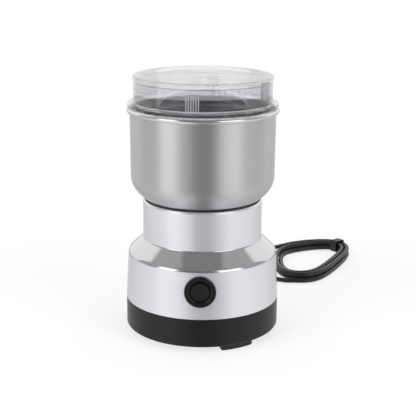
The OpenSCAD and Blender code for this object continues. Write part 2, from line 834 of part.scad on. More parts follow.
// Spider under the motor: a hub for the lower bearing, two legs and two seats for the brush holders
module lower_bracket() {
    seat_x0 = 15;
    seat_x1 = 27;
    color(iron) difference() {
        union() {
            translate([0, 0, lower_plate_z]) linear_extrude(lower_plate_t) union() {
                circle(r = 13);
                translate([-5, -leg_ring_r]) square([10, 2 * leg_ring_r]);
                for (y = [-leg_ring_r, leg_ring_r]) translate([0, y]) circle(r = 5);
                translate([-seat_x1, -5]) square([2 * seat_x1, 10]);
            }
            translate([0, 0, lower_hub_z]) cylinder(r = hub_r, h = lower_plate_top_z - lower_hub_z + 1);
            for (y = [-leg_ring_r, leg_ring_r]) translate([0, y, lower_plate_z])
                cylinder(r = leg_r, h = stack_z - lower_plate_z);
            for (m = [0, 1]) mirror([m, 0, 0]) translate([seat_x0, -holder_out / 2, lower_plate_z])
                cube([seat_x1 - seat_x0, holder_out, brush_z - holder_out / 2 - lower_plate_z]);
        }
        translate([0, 0, lower_hub_z - past]) cylinder(r = shaft_r + 2, h = 12);
        translate([0, 0, lower_hub_z + 1]) cylinder(r = bearing_r + fit_gap, h = 12);
        for (y = [-leg_ring_r, leg_ring_r]) translate([0, y, lower_plate_z - past])
            cylinder(r = bolt_r + fit_gap, h = stack_z - lower_plate_z + 2 * past);
    }
}

// Two long bolts clamp the lower bracket, the stator and the upper bracket together
module through_bolts() {
    len = stack_top_z + upper_leg_h - bolt_rest - lower_plate_z;
    color("#9a9da1") for (y = [-leg_ring_r, leg_ring_r]) translate([0, y, lower_plate_z - bolt_head_h])
        pan_head_screw(bolt_head_r, bolt_head_h, bolt_r, len);
}

module brush_holders() {
    color(brass) for (m = [0, 1]) mirror([m, 0, 0]) difference() {
        translate([holder_x0, -holder_out / 2, brush_z - holder_out / 2])
            cube([holder_x1 - holder_x0, holder_out, holder_out]);
        translate([holder_x0 - past, -holder_in / 2 - fit_gap, brush_z - holder_in / 2 - fit_gap])
            cube([holder_x1 - holder_x0 + 2 * past, holder_in + 2 * fit_gap, holder_in + 2 * fit_gap]);
    }
}

brush_len = 12;
cap_t = 1.2;

module carbon_brushes() {
    color("#3a3a3c") for (m = [0, 1]) mirror([m, 0, 0]) difference() {
        translate([brush_x - 0.6, -holder_in / 2, brush_z - holder_in / 2])
            cube([brush_len + 0.6, holder_in, holder_in]);
        // Face worn to the curve of the commutator
        translate([0, 0, commutator_z - past]) cylinder(r = brush_x, h = commutator_h + 2 * past);
    }
}

module brush_springs() {
    turns = 4;
    coil_r = 2.2;
    x0 = brush_x + brush_len + 0.4;
    x1 = holder_x1 - 1.6;
    steps = turns * 10;
    color(iron) for (m = [0, 1]) mirror([m, 0, 0]) tube([for (i = [0:steps])
        let (a = 360 * turns * i / steps)
        [x0 + (x1 - x0) * i / steps, coil_r * cos(a), brush_z + coil_r * sin(a)]],
        0.25, 6, [1, 0, 0]);
}

module brush_caps() {
    color(brass) for (m = [0, 1]) mirror([m, 0, 0]) translate([holder_x1, 0, brush_z]) {
        translate([0, -holder_out / 2, -holder_out / 2]) cube([cap_t, holder_out, holder_out]);
        translate([-cap_t, -holder_in / 2, -holder_in / 2]) cube([cap_t + 0.2, holder_in, holder_in]);
    }
}

// Rotor

module shaft() {
    flat_h = 6;
    color("#b9bcc0") difference() {
        translate([0, 0, shaft_bottom_z]) cylinder(r = shaft_r, h = shaft_top_z - shaft_bottom_z);
        // Two flats that drive the blades
        for (a = [0, 180]) rotate([0, 0, a])
            translate([shaft_r - 0.5, -shaft_r, blade_z]) cube([past, 2 * shaft_r, flat_h + nut_h]);
    }
}

module armature_core() {
    slots = 10;
    color(iron) translate([0, 0, stack_z]) difference() {
        cylinder(r = armature_r, h = stack_h);
        translate([0, 0, -past]) cylinder(r = shaft_r + fit_gap, h = stack_h + 2 * past);
        for (i = [0:slots - 1]) rotate([0, 0, 360 * i / slots]) {
            translate([armature_r - 5, 0, -past]) cylinder(r = 1.9, h = stack_h + 2 * past);
            translate([armature_r - 5, -0.8, -past]) cube([6, 1.6, stack_h + 2 * past]);
        }
    }
}

// End turns above and below the core
module armature_windings() {
    color(copper) for (z = [stack_z - winding_h, stack_top_z]) translate([0, 0, z]) difference() {
        rotate_extrude() polygon(concat(
            [[0, 0]],
            arc([winding_r - 2, 2], 2, -90, 0, 5),
            arc([winding_r - 2, winding_h - 2], 2, 0, 90, 5),
            [[0, winding_h]]
        ));
        translate([0, 0, -past]) cylinder(r = shaft_r + fit_gap, h = winding_h + 2 * past);
    }
}

module commutator() {
    bars = 20;
    color(copper) translate([0, 0, commutator_z]) difference() {
        cylinder(r = commutator_r, h = commutator_h);
        translate([0, 0, -past]) cylinder(r = shaft_r + fit_gap, h = commutator_h + 2 * past);
        for (i = [0:bars - 1]) rotate([0, 0, 360 * i / bars])
            translate([commutator_r - 0.8, -0.25, -past]) cube([2, 0.5, commutator_h + 2 * past]);
    }
}

// Backplate with leaning blades that throw air outwards
module cooling_fan() {
    back_t = 1.4;
    blade_len = fan_r - 12;
    color(white_plastic) difference() {
        union() {
            translate([0, 0, fan_top_z - back_t]) cylinder(r = fan_r, h = back_t);
            translate([0, 0, fan_z]) cylinder(r = 7, h = fan_h);
            for (i = [0:fan_blades - 1]) rotate([0, 0, 360 * (i + 0.3) / fan_blades])
                translate([8.6, 0, fan_z]) rotate([0, 0, 18])
                    translate([0, -0.6, 0]) cube([blade_len, 1.2, fan_h - back_t / 2]);
        }
        translate([0, 0, fan_z - past]) cylinder(r = shaft_r + fit_gap, h = fan_h + 2 * past);
    }
}

// Blades

module blade_bore(h) {
    difference() {
        translate([0, 0, -past]) cylinder(r = shaft_r + fit_gap, h = h + 2 * past);
        for (a = [0, 180]) rotate([0, 0, a])
            translate([shaft_r - 0.5 + fit_gap, -shaft_r, -2 * past]) cube([2, 2 * shaft_r, h + 4 * past]);
    }
}

module blade_spacer() {
    color(steel) translate([0, 0, spacer_z]) difference() {
        cylinder(r1 = 6.4, r2 = 5.6, h = spacer_h);
        translate([0, 0, -past]) cylinder(r = shaft_r + fit_gap, h = spacer_h + 2 * past);
    }
}

// One wing past its bend, flat in XY with the cutting edge on +Y: tapered, swept and ground to an edge
module wing(len, w) {
    tip_r = w * 0.32;
    grind = 11;
    difference() {
        linear_extrude(blade_t) union() {
            polygon([[0, -w / 2], [len - tip_r, -w / 2 + 1.2], [len - tip_r, -w / 2 + 1.2 + 2 * tip_r], [0, w / 2]]);
            translate([len - tip_r, -w / 2 + 1.2 + tip_r]) circle(r = tip_r);
        }
        // Ground bevel along the leading edge
        translate([-past, w / 2 - 2.2, blade_t]) rotate([-grind * 2, 0, -4])
            cube([len + 3 * past, w, 2 * blade_t]);
    }
}

// A pair of wings on one flat strap, bent at the same distance on both sides
module blade_pair(tip, bend_r, w, turn) {
    translate([-bend_r, -w / 2, 0]) cube([2 * bend_r, w, blade_t]);
    cylinder(r = w * 0.62, h = blade_t);
    for (a = [0, 180]) rotate([0, 0, a]) translate([bend_r - 0.25, 0, 0])
        rotate([0, -turn, 0]) wing((tip - bend_r) / cos(turn), w);
}

module blade_lower() {
    color(steel) translate([0, 0, blade_z]) difference() {
        blade_pair(blade_r - 3, 0.35 * blade_r, blade_w, -wing_down);
        blade_bore(blade_t);
    }
}

module blade_upper() {
    color(steel) translate([0, 0, blade_z + blade_t]) difference() {
        rotate([0, 0, 90]) blade_pair(blade_r, 0.4 * blade_r, blade_w, wing_up);
        blade_bore(blade_t);
    }
}

module blade_washer() {
    color(steel) translate([0, 0, blade_z + 2 * blade_t]) ring(6, shaft_r + fit_gap, washer_h);
}

// Domed cap nut
module blade_nut() {
    af_r = 5.6;
    dome_r = 5;
    color(steel) translate([0, 0, nut_z]) difference() {
        union() {
            cylinder(r = af_r, h = nut_h, $fn = 6);
            translate([0, 0, nut_h]) intersection() {
                translate([0, 0, -1]) sphere(r = dome_r);
                translate([-dome_r, -dome_r, -0.5]) cube([2 * dome_r, 2 * dome_r, dome_r]);
            }
        }
        translate([0, 0, -past]) cylinder(r = shaft_r + fit_gap, h = nut_h + past);
    }
}

// Cord

// Bar that holds the cord's sleeve down on the saddle inside the base
module cord_clamp() {
    color(white_plastic) difference() {
        translate([-saddle_w / 2, clamp_y0, saddle_top_z]) cube([saddle_w, clamp_y1 - clamp_y0, clamp_h]);
        translate([0, 0, exit_z]) y_cylinder(relief_neck_r + fit_gap, clamp_y0 - past, clamp_y1 + past);
        for (x = [-clamp_screw_x, clamp_screw_x]) translate([x, clamp_mid_y, saddle_top_z - past])
            cylinder(r = clamp_screw_r + fit_gap, h = clamp_h + 2 * past);
    }
}

module clamp_screws() {
    head_h = 1.6;
    color("#9a9da1") for (x = [-clamp_screw_x, clamp_screw_x])
        translate([x, clamp_mid_y, saddle_top_z + clamp_h + head_h]) mirror([0, 0, 1])
            pan_head_screw(2.2, head_h, clamp_screw_r, clamp_h + 5);
}

// Three wires in the room between the motor and the posts: from the cord to the switch, from the
// switch to one brush and from the cord to the other brush
module lead_wires() {
    wire_r = 0.8;
    apart = 1.3;
    start_y = saddle_y - 1 - fit_gap;
    turn_y = start_y - 2;
    post_x = 4.4;
    post_y = switch_back_y + 3;
    cap_x = holder_x1 + cap_t + fit_gap;
    ring_r = (cap_x + post_ring_r - post_r) / 2;
    knee_x = (cap_x + ring_r) / 2;
    low_z = lower_plate_z;
    function at(a, z) = [ring_r * cos(a), ring_r * sin(a), z];
    runs = [
        [[apart, start_y, exit_z], [apart, turn_y, exit_z], [-5 * apart, turn_y - 2, low_z - 1],
            at(126, low_z + 8), at(161, button_z - 0.5), at(199, button_z + 2.5),
            at(226, button_z + 2.5), [-3 * post_x, post_y + 1, button_z],
            [-2 * post_x, post_y, button_z], [-post_x, post_y, button_z]],
        [[post_x, post_y, button_z], [2 * post_x, post_y, button_z], [3 * post_x, post_y + 1, button_z],
            at(-37, button_z - 3), at(-13, brush_z + 1), [ring_r, -1, brush_z],
            [knee_x, 0, brush_z], [cap_x, 0, brush_z]],
        [[-apart, start_y, exit_z], [-apart, turn_y, exit_z], at(114, exit_z + 2.5),
            at(157, low_z + 3), at(173, brush_z - 1), [-ring_r, 0.5, brush_z],
            [-knee_x, 0, brush_z], [-cap_x, 0, brush_z]]
    ];
    colours = ["#7a4a2a", "#33527a", "#7a2a2a"];
    for (i = [0:2]) color(colours[i])
        tube(concat([runs[i][0]], smooth([for (k = [1:len(runs[i]) - 1]) runs[i][k]], 2)),
            wire_r, 6, unit([0.2, 0.1, 1]));
}

// Ribbed sleeve that tapers from the base cover to the cord
module strain_relief() {
    ribs = 6;
    flange_t = 2;
    pitch = (relief_len - flange_t - 3) / ribs;
    slope = (relief_r - relief_tip_r) / relief_len;
    neck_len = relief_y - saddle_y + 1;
    color(rubber_black) translate([0, relief_y, exit_z]) rotate([-90, 0, 0]) rotate_extrude() polygon(concat(
        [[0, -neck_len], [relief_neck_r, -neck_len], [relief_neck_r, 0]],
        [[relief_r + 0.6, 0], [relief_r + 0.6, flange_t]],
        [for (i = [0:ribs - 1]) let (y = flange_t + pitch * i) each [
            [relief_r - slope * y - 0.7, y + 0.1],
            [relief_r - slope * y - 0.7, y + pitch * 0.45],
            [relief_r - slope * y, y + pitch * 0.5],
            [relief_r - slope * (y + pitch), y + pitch]
        ]],
        [[relief_tip_r, relief_len - 0.4], [relief_tip_r - 0.4, relief_len], [0, relief_len]]
    ));
}

// Point of a turn whose outward direction is the angle a, moved in by n turns
function hank_xy(a, n) =
    let (
        out = [cos(a), sin(a)],
        reach = [for (c = hank_corners) c * out],
        far = max(reach),
        weight = [for (r = reach) exp(corner_blend * (r - far))],
        near_tie = pow((1 + cos(a - tie_angle)) / 2, 2),
        step = turn_step_far + (turn_step_tie - turn_step_far) * near_tie
    )
    (weight * hank_corners) / (weight * [for (c = hank_corners) 1]) + (hank_r - n * step) * out;

// The hank winds in on the table, climbs half way through and winds out on top of itself
function hank_point(t) =
    let (
        mid = hank_turns / 2,
        half = climb_turns / 2,
        u = (t - mid) / half,
        n = abs(u) < 1 ? mid - half * (1 + u * u) / 2 : min(t, hank_turns - t),
        c = min(max((t - mid + half) / climb_turns, 0), 1),
        climb = c * c * (3 - 2 * c),
        p = hank_xy(hank_start + 360 * t, n)
    )
    [p[0], p[1], cord_r + tie_t * tie_lift(t) + climb * (cord_d + layer_gap)];

// The lower layer is lifted by the band of the tie that passes under it
function tie_lift(t) = pow((1 + cos(hank_start + 360 * t - tie_angle)) / 2, 6) * 1.1;

hank_steps = round(hank_turns * hank_rings);
hank_path = [for (i = [0:hank_steps]) hank_point(hank_turns * i / hank_steps)];
hank_head = unit(hank_path[1] - hank_path[0]);
hank_tail = unit(hank_path[hank_steps] - hank_path[hank_steps - 1]);

// Least distance between two stretches of the hank that aren't neighbours along it, less the cord
fine_path = smooth(hank_path, 3);
apart = 9;
hank_gap = min([for (i = [0:2:len(fine_path) - 1], j = [i + apart:2:len(fine_path) - 1])
    norm(fine_path[i] - fine_path[j])]) - cord_d;

// Both ends run straight for one diameter
hank_in = hank_path[0] - hank_head * cord_d;
hank_out = hank_path[hank_steps] + hank_tail * cord_d;

sleeve_start = plug_at - plug_dir * plug_sleeve_len;

power_cord_path = concat(
    [[0, relief_end_y, exit_z]],
    smooth(concat(cord_in, [hank_in - hank_head * 4]), 2),
    [hank_in]
);
plug_lead_path = concat(
    [hank_out],
    smooth(concat([hank_out + hank_tail * 4], cord_out, [sleeve_start - plug_dir * cord_d]), 2),
    [sleeve_start]
);

module power_cord() {
    color(rubber_black) tube(power_cord_path, cord_r, 8);
}

module cord_hank() {
    color(rubber_black) tube(concat([hank_in], hank_path, [hank_out]), cord_r, 6);
}

module plug_lead() {
    color(rubber_black) tube(plug_lead_path, cord_r, 8);
}

// Wire tie round the four strands at the hank's tight corner, its ends twisted together
module cord_tie() {
    first = (tie_angle - hank_start) / 360;
    turns_seen = floor(hank_turns - first);
    n_out = min(first, hank_turns - first - turns_seen);
    n_in = max(first + 1, hank_turns - first - turns_seen + 1);
    mid = hank_xy(tie_angle, (n_out + n_in) / 2);
    in_w = (n_in - n_out) * turn_step_tie + cord_d + 2 * tie_clear + 0.5;
    in_h = 2 * cord_d + layer_gap + 2 * tie_clear + 0.3;
    color(rubber_black) translate([mid[0], mid[1], 0]) rotate([0, 0, tie_angle]) {
        translate([0, tie_w / 2, 0]) rotate([90, 0, 0]) linear_extrude(tie_w) difference() {
            tie_outline(in_w + 2 * tie_t, in_h + 2 * tie_t, 2.4, 0.01);
            tie_outline(in_w, in_h, 1.7, 0.01 + tie_t);
        }
    }
}

module tie_outline(w, h, r, z) {
    translate([0, z + h / 2]) {
        square([w - 2 * r, h], center = true);
        square([w, h - 2 * r], center = true);
        for (x = [-1, 1], y = [-1, 1]) translate([x * (w / 2 - r), y * (h / 2 - r)]) circle(r = r);
    }
}

// Outline with each corner cut round; pts run counterclockwise and each has its own radius
function round_corners(pts, radii, steps = 5) =
    let (n = len(pts))
    [for (i = [0:n - 1])
        let (
            p = pts[i],
            u = unit(pts[(i + n - 1) % n] - p), v = unit(pts[(i + 1) % n] - p),
            half = acos(u * v) / 2, back = radii[i] / tan(half),
            c = p + unit(u + v) * radii[i] / sin(half),
            s0 = p + u * back - c, s1 = p + v * back - c
        )
        for (k = [0:steps]) c + radii[i] * unit(s0 * (steps - k) + s1 * k)];

// Flat body that narrows to a ribbed sleeve round the cord
module plug_body() {
    mid_w = plug_w * 0.8;
    neck_h2 = plug_h * 0.72 / 2;
    side = [
        [-plug_w / 2, -plug_len], [plug_w / 2, -plug_len], [plug_w / 2, -plug_len * 0.6],
        [mid_w / 2, -plug_len * 0.36], [plug_neck_w / 2, 0], [-plug_neck_w / 2, 0],
        [-mid_w / 2, -plug_len * 0.36], [-plug_w / 2, -plug_len * 0.6]
    ];
    thick = [
        [-plug_len - past, -plug_h / 2], [-plug_len * 0.5, -plug_h / 2], [past, -neck_h2],
        [past, neck_h2], [-plug_len * 0.5, plug_h / 2], [-plug_len - past, plug_h / 2]
    ];
    color(rubber_black) translate(plug_at) rotate([0, 0, plug_turn]) union() {
        intersection() {
            translate([0, 0, -plug_h]) linear_extrude(2 * plug_h)
                polygon(round_corners(side, [2, 2, 8, 10, 2, 2, 10, 8]));
            translate([-plug_w, 0, 0]) rotate([90, 0, 90]) linear_extrude(2 * plug_w)
                polygon(round_corners(thick, [0.1, 20, 0.1, 0.1, 20, 0.1]));
        }
        rotate([-90, 0, 0]) rotate_extrude() polygon(concat(
            [[0, -1]],
            [for (i = [0:4]) let (y = i * 2.6, r = 4.8 - 0.3 * i) each [
                [r, y - 0.2], [r, y + 1.4], [r - 0.8, y + 1.5], [r - 0.8, y + 2.3]
            ]],
            [[2.7, plug_sleeve_len - 0.2], [2.5, plug_sleeve_len], [0, plug_sleeve_len]]
        ));
    }
}

module plug_pins() {
    color(brass) translate(plug_at) rotate([0, 0, plug_turn]) for (x = [-1, 1])
        translate([x * pin_pitch / 2, -plug_len, 0]) rotate([90, 0, 0]) {
            cylinder(d = pin_d, h = pin_len - pin_d / 4);
            translate([0, 0, pin_len - pin_d / 4]) cylinder(d1 = pin_d, d2 = pin_d * 0.6, h = pin_d / 4);
        }
}

base_cover();
feet();
base_screws();
upper_housing();
bowl_gasket();
bowl();
bowl_bushing();
bushing_nut();
shaft_seal();
lid();
button_bezel();
button_cap();
button_spring();
switch_body();
switch_nut();
switch_terminals();
motor_dampers();
motor_screws();
upper_bracket();
upper_bearing();
stator_core();
field_coils();
lower_bracket();
lower_bearing();
through_bolts();
brush_holders();
carbon_brushes();
brush_springs();
brush_caps();
shaft();
armature_core();
armature_windings();
commutator();
cooling_fan();
blade_spacer();
blade_lower();
blade_upper();
blade_washer();
blade_nut();
cord_clamp();
clamp_screws();
lead_wires();
strain_relief();
power_cord();
cord_hank();
cord_tie();
plug_lead();
plug_body();
plug_pins();

echo(hank_self_gap = hank_gap);
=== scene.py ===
import math

import bmesh
import bpy
import numpy as np
from mathutils import Matrix, Vector


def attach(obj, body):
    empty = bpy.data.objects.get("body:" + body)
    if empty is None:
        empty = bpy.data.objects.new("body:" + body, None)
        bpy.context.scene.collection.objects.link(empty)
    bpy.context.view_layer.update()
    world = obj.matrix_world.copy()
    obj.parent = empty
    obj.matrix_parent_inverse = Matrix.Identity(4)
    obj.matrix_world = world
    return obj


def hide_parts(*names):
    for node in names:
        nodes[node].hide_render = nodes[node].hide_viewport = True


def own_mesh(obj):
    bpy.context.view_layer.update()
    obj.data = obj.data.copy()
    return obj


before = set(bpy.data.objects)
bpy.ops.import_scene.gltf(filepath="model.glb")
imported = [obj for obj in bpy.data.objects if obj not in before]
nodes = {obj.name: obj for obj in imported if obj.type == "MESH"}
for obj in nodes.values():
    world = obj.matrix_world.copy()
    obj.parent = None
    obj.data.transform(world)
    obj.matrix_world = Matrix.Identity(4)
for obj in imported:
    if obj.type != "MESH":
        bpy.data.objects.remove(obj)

scene = bpy.context.scene
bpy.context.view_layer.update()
MM = 0.001

# Camera: the photograph's viewpoint, 14.5 degrees down from the front and 0.66 m away
CAM_DIST, CAM_HEIGHT, CAM_PITCH, CAM_TURN = 0.6618, 0.2653, 14.49, 1.4
cam_data = bpy.data.cameras.new("camera")
cam_data.lens = 86.43
cam_data.sensor_width = 36.0
cam_data.shift_x, cam_data.shift_y = 0.0131, -0.0326
cam_data.clip_start = 0.05
cam = bpy.data.objects.new("camera", cam_data)
scene.collection.objects.link(cam)
turn = math.radians(CAM_TURN)
cam.location = (CAM_DIST * math.sin(turn), -CAM_DIST * math.cos(turn), CAM_HEIGHT)
cam.rotation_euler = (Matrix.Rotation(turn, 3, "Z") @ Matrix.Rotation(math.radians(90 - CAM_PITCH), 3, "X")
                      @ Matrix.Rotation(math.radians(0.3), 3, "Z")).to_euler()
scene.camera = cam
scene.view_settings.view_transform = "Standard"


# Geometry helpers, in millimetres until a mesh is made

def arc(c, r, a0, a1, steps):
    return [(c[0] + r * math.cos(math.radians(a0 + (a1 - a0) * i / steps)),
             c[1] + r * math.sin(math.radians(a0 + (a1 - a0) * i / steps))) for i in range(steps + 1)]


def bend(p0, p1, a0, a1, steps):
    p0, p1 = np.array(p0, float), np.array(p1, float)
    size = np.linalg.norm(p1 - p0)
    d0 = size * np.array([math.cos(math.radians(a0)), math.sin(math.radians(a0))])
    d1 = size * np.array([math.cos(math.radians(a1)), math.sin(math.radians(a1))])
    out = []
    for i in range(steps + 1):
        t = i / steps
        out.append(tuple((2 * t ** 3 - 3 * t * t + 1) * p0 + (t ** 3 - 2 * t * t + t) * d0
                         + (3 * t * t - 2 * t ** 3) * p1 + (t ** 3 - t * t) * d1))
    return out


def fillet(a, corner, b, r, steps):
    """Round the corner between two straight lines."""
    a, corner, b = (np.array(q, float) for q in (a, corner, b))
    u, v = (a - corner) / np.linalg.norm(a - corner), (b - corner) / np.linalg.norm(b - corner)
    half = math.acos(float(np.clip(u @ v, -1, 1))) / 2
    mid = corner + (u + v) / np.linalg.norm(u + v) * r / math.sin(half)
    p, q = corner + u * r / math.tan(half) - mid, corner + v * r / math.tan(half) - mid
    a0 = math.atan2(p[1], p[0])
    turn = (math.atan2(q[1], q[0]) - a0 + math.pi) % (2 * math.pi) - math.pi
    return [tuple(mid + r * np.array([math.cos(a0 + turn * i / steps), math.sin(a0 + turn * i / steps)]))
            for i in range(steps + 1)]


def smooth_path(points, steps):
    p = [np.array(q, float) for q in points]
    n = len(p)
    out = []
    for i in range(n - 1):
        a, b, c, d = p[max(i - 1, 0)], p[i], p[i + 1], p[min(i + 2, n - 1)]
        for k in range(steps):
            t = k / steps
            out.append(0.5 * (2 * b + (c - a) * t + (2 * a - 5 * b + 4 * c - d) * t * t
                              + (3 * b - a - 3 * c + d) * t ** 3))
    out.append(p[-1])
    return out


def finish_mesh(name, verts, faces, sharp=35):
    me = bpy.data.meshes.new(name)
    me.from_pydata([tuple(x * MM for x in v) for v in verts], [], faces)
    me.validate()
    bm = bmesh.new()
    bm.from_mesh(me)
    bmesh.ops.remove_doubles(bm, verts=bm.verts, dist=1e-7)
    bmesh.ops.recalc_face_normals(bm, faces=bm.faces)
    bm.to_mesh(me)
    bm.free()
    me.shade_smooth()
    me.set_sharp_from_angle(angle=math.radians(sharp))
    ob = bpy.data.objects.new(name, me)
    scene.collection.objects.link(ob)
    return ob


def lathe_data(profile, segments=192, closed=True):
    """Vertices and faces of a profile turned round Z; points on the axis become one vertex."""
    verts, rows = [], []
    for r, z in profile:
        if abs(r) < 1e-6:
            verts.append((0, 0, z))
            rows.append([len(verts) - 1] * segments)
        else:
            start = len(verts)
            for k in range(segments):
                a = 2 * math.pi * k / segments
                verts.append((r * math.cos(a), r * math.sin(a), z))
            rows.append(list(range(start, start + segments)))
    faces = []
    count = len(rows) if closed else len(rows) - 1
    for i in range(count):
        a, b = rows[i], rows[(i + 1) % len(rows)]
        for k in range(segments):
            quad = [a[k], a[(k + 1) % segments], b[(k + 1) % segments], b[k]]
            face = [v for j, v in enumerate(quad) if v != quad[j - 1]]
            if len(face) >= 3:
                faces.append(face)
    return verts, faces


def lathe(name, profile, segments=192, closed=True, sharp=35):
    verts, faces = lathe_data(profile, segments, closed)
    return finish_mesh(name, verts, faces, sharp)


def tube(name, path, radius, sides=16, up=(0, 0, 1), sharp=60):
    """Round tube along a path in millimetres; radius may be a function of the fraction along it."""
    pts = [np.array(p, float) for p in path]
    n = len(pts)
    verts, faces = [], []
    up = np.array(up, float)
    for i, p in enumerate(pts):
        t = pts[min(i + 1, n - 1)] - pts[max(i - 1, 0)]
        t /= np.linalg.norm(t)
        s = np.cross(t, up)
        s /= np.linalg.norm(s)
        v = np.cross(s, t)
        r = radius(i / (n - 1)) if callable(radius) else radius
        for k in range(sides):
            a = 2 * math.pi * (k + 0.5) / sides
            verts.append(tuple(p + r * (math.cos(a) * s + math.sin(a) * v)))
    for i in range(n - 1):
        for k in range(sides):
            j = (k + 1) % sides
            faces.append([i * sides + k, i * sides + j, (i + 1) * sides + j, (i + 1) * sides + k])
    faces.append(list(range(sides))[::-1])
    faces.append([(n - 1) * sides + k for k in range(sides)])
    return finish_mesh(name, verts, faces, sharp)


# Sizes, in millimetres
BODY_R, SHOULDER_R, NECK_R = 52.6, 51.0, 40.7
BASE_Z, SPLIT_Z, SHOULDER_Z, NECK_Z, DECK_Z = 4.0, 23.2, 56.2, 66.2, 92.5
WALL = 2.0
BUTTON_Z = 42.2
BOWL_Z, RIM_Z = 93.8, 155.4
BOWL_R, BOWL_LOW_R, SHEET = 49.1, 48.8, 0.8
BEAD_R = 1.9
LID_R, LID_WALL, LID_Z, LID_TOP = 46.8, 1.8, 155.55, 176.6
FLANGE_R, SKIRT_H = 50.7, 7.5
CENTRE_HOLE_R, BUTTON_HOLE_R = 6.6, 8.65
TURNED_SIDES = 256

# Cord first: its route, the hank and the way to the plug

CORD_R = 1.8
EXIT = (0.0, 77.63, 13.0)
CORD_IN = [(0, 81.23, 13), (0, 84.83, 12.7), (0.6, 90, 11.6), (2.4, 96, 9.4), (6, 102.5, 6.2),
           (12, 107.5, 3.4), (20, 110, CORD_R), (29, 109.2, CORD_R), (38, 105, CORD_R),
           (46, 99, CORD_R), (54.5, 93, CORD_R), (63, 89.2, CORD_R)]
CORD_OUT = [(56.7, 160.6, 6.3)]
HANK_CORNERS = np.array([[77.5, 110], [75.5, 151], [102.5, 161.5]])
HANK_R, HANK_TURNS, HANK_START, TIE_ANGLE = 23.5, 3.63, -95.0, 45.0
STEP_TIE, STEP_FAR, BLEND = 4.5, 4.7, 0.08
PLUG_AT = np.array([32.5, 159.2, 6.81])
SLEEVE = 14.0


def hank_xy(a, n):
    out = np.array([math.cos(math.radians(a)), math.sin(math.radians(a))])
    reach = HANK_CORNERS @ out
    w = np.exp(BLEND * (reach - reach.max()))
    near = ((1 + math.cos(math.radians(a - TIE_ANGLE))) / 2) ** 2
    step = STEP_FAR + (STEP_TIE - STEP_FAR) * near
    return (w @ HANK_CORNERS) / w.sum() + (HANK_R - n * step) * out


def hank_point(t):
    mid, half = HANK_TURNS / 2, 0.25
    u = (t - mid) / half
    n = mid - half * (1 + u * u) / 2 if abs(u) < 1 else min(t, HANK_TURNS - t)
    c = min(max((t - mid + half) / 0.5, 0), 1)
    x, y = hank_xy(HANK_START + 360 * t, n)
    lift = ((1 + math.cos(math.radians(HANK_START + 360 * t - TIE_ANGLE))) / 2) ** 6 * 1.1
    return np.array([x, y, CORD_R + 0.8 * lift + c * c * (3 - 2 * c) * (2 * CORD_R + 0.5)])


hank = [hank_point(HANK_TURNS * i / 300) for i in range(301)]
head = (hank[1] - hank[0]) / np.linalg.norm(hank[1] - hank[0])
tail = (hank[-1] - hank[-2]) / np.linalg.norm(hank[-1] - hank[-2])
hank_in = hank[0] - head * 2 * CORD_R
hank_out = hank[-1] + tail * 2 * CORD_R
sleeve_end = PLUG_AT + np.array([SLEEVE, 0, 0])
route = [np.array(EXIT)] + smooth_path(CORD_IN + [hank_in - head * 4], 8) + [hank_in] + hank + [hank_out]
to_plug = [hank_out + tail * 4] + CORD_OUT + [sleeve_end + np.array([2 * CORD_R, 0, 0])]
route += smooth_path(to_plug, 8) + [sleeve_end]
route = [p for i, p in enumerate(route) if i == 0 or np.linalg.norm(p - route[i - 1]) > 0.05]
cord = tube("power_lead", route, CORD_R, 14)
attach(cord, "body")
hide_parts("power_cord", "cord_hank", "plug_lead")

# Materials


def material(name):
    m = bpy.data.materials.new(name)
    m.use_nodes = True
    t = m.node_tree
    b = t.nodes["Principled BSDF"]
    return m, t, b


def link(t, a, b):
    t.links.new(a, b)


def node(t, kind, **values):
    n = t.nodes.new(kind)
    for k, v in values.items():
        if k in n.inputs:
            n.inputs[k].default_value = v
        else:
            setattr(n, k, v)
    return n


def coords(t, scale=(1, 1, 1)):
    tc = node(t, "ShaderNodeTexCoord")
    mp = node(t, "ShaderNodeMapping")
    mp.inputs["Scale"].default_value = scale
    link(t, tc.outputs["Object"], mp.inputs["Vector"])
    return mp.outputs["Vector"]


def noise(t, vec, scale, detail=3.0, rough=0.5):
    n = node(t, "ShaderNodeTexNoise")
    n.inputs["Scale"].default_value = scale
    n.inputs["Detail"].default_value = detail
    n.inputs["Roughness"].default_value = rough
    link(t, vec, n.inputs["Vector"])
    return n.outputs["Fac"]


def ramp(t, fac, stops):
    r = node(t, "ShaderNodeValToRGB")
    els = r.color_ramp.elements
    while len(els) > 1:
        els.remove(els[-1])
    for i, (pos, col) in enumerate(stops):
        e = els[0] if i == 0 else els.new(pos)
        e.position = pos
        e.color = (*col, 1) if len(col) == 3 else col
    link(t, fac, r.inputs["Fac"])
    return r.outputs["Color"]


def spread(t, fac, lo, hi, from_lo=0.3, from_hi=0.7):
    m = node(t, "ShaderNodeMapRange")
    for key, v in (("From Min", from_lo), ("From Max", from_hi), ("To Min", lo), ("To Max", hi)):
        m.inputs[key].default_value = v
    link(t, fac, m.inputs["Value"])
    return m.outputs["Result"]


def bump(t, b, height, strength, distance, normal=None):
    n = node(t, "ShaderNodeBump")
    n.inputs["Strength"].default_value = strength
    n.inputs["Distance"].default_value = distance
    link(t, height, n.inputs["Height"])
    if normal is not None:
        link(t, normal, n.inputs["Normal"])
    link(t, n.outputs["Normal"], b.inputs["Normal"])
    return n.outputs["Normal"]


def tint(col, k):
    return tuple(min(1, c * k) for c in col)


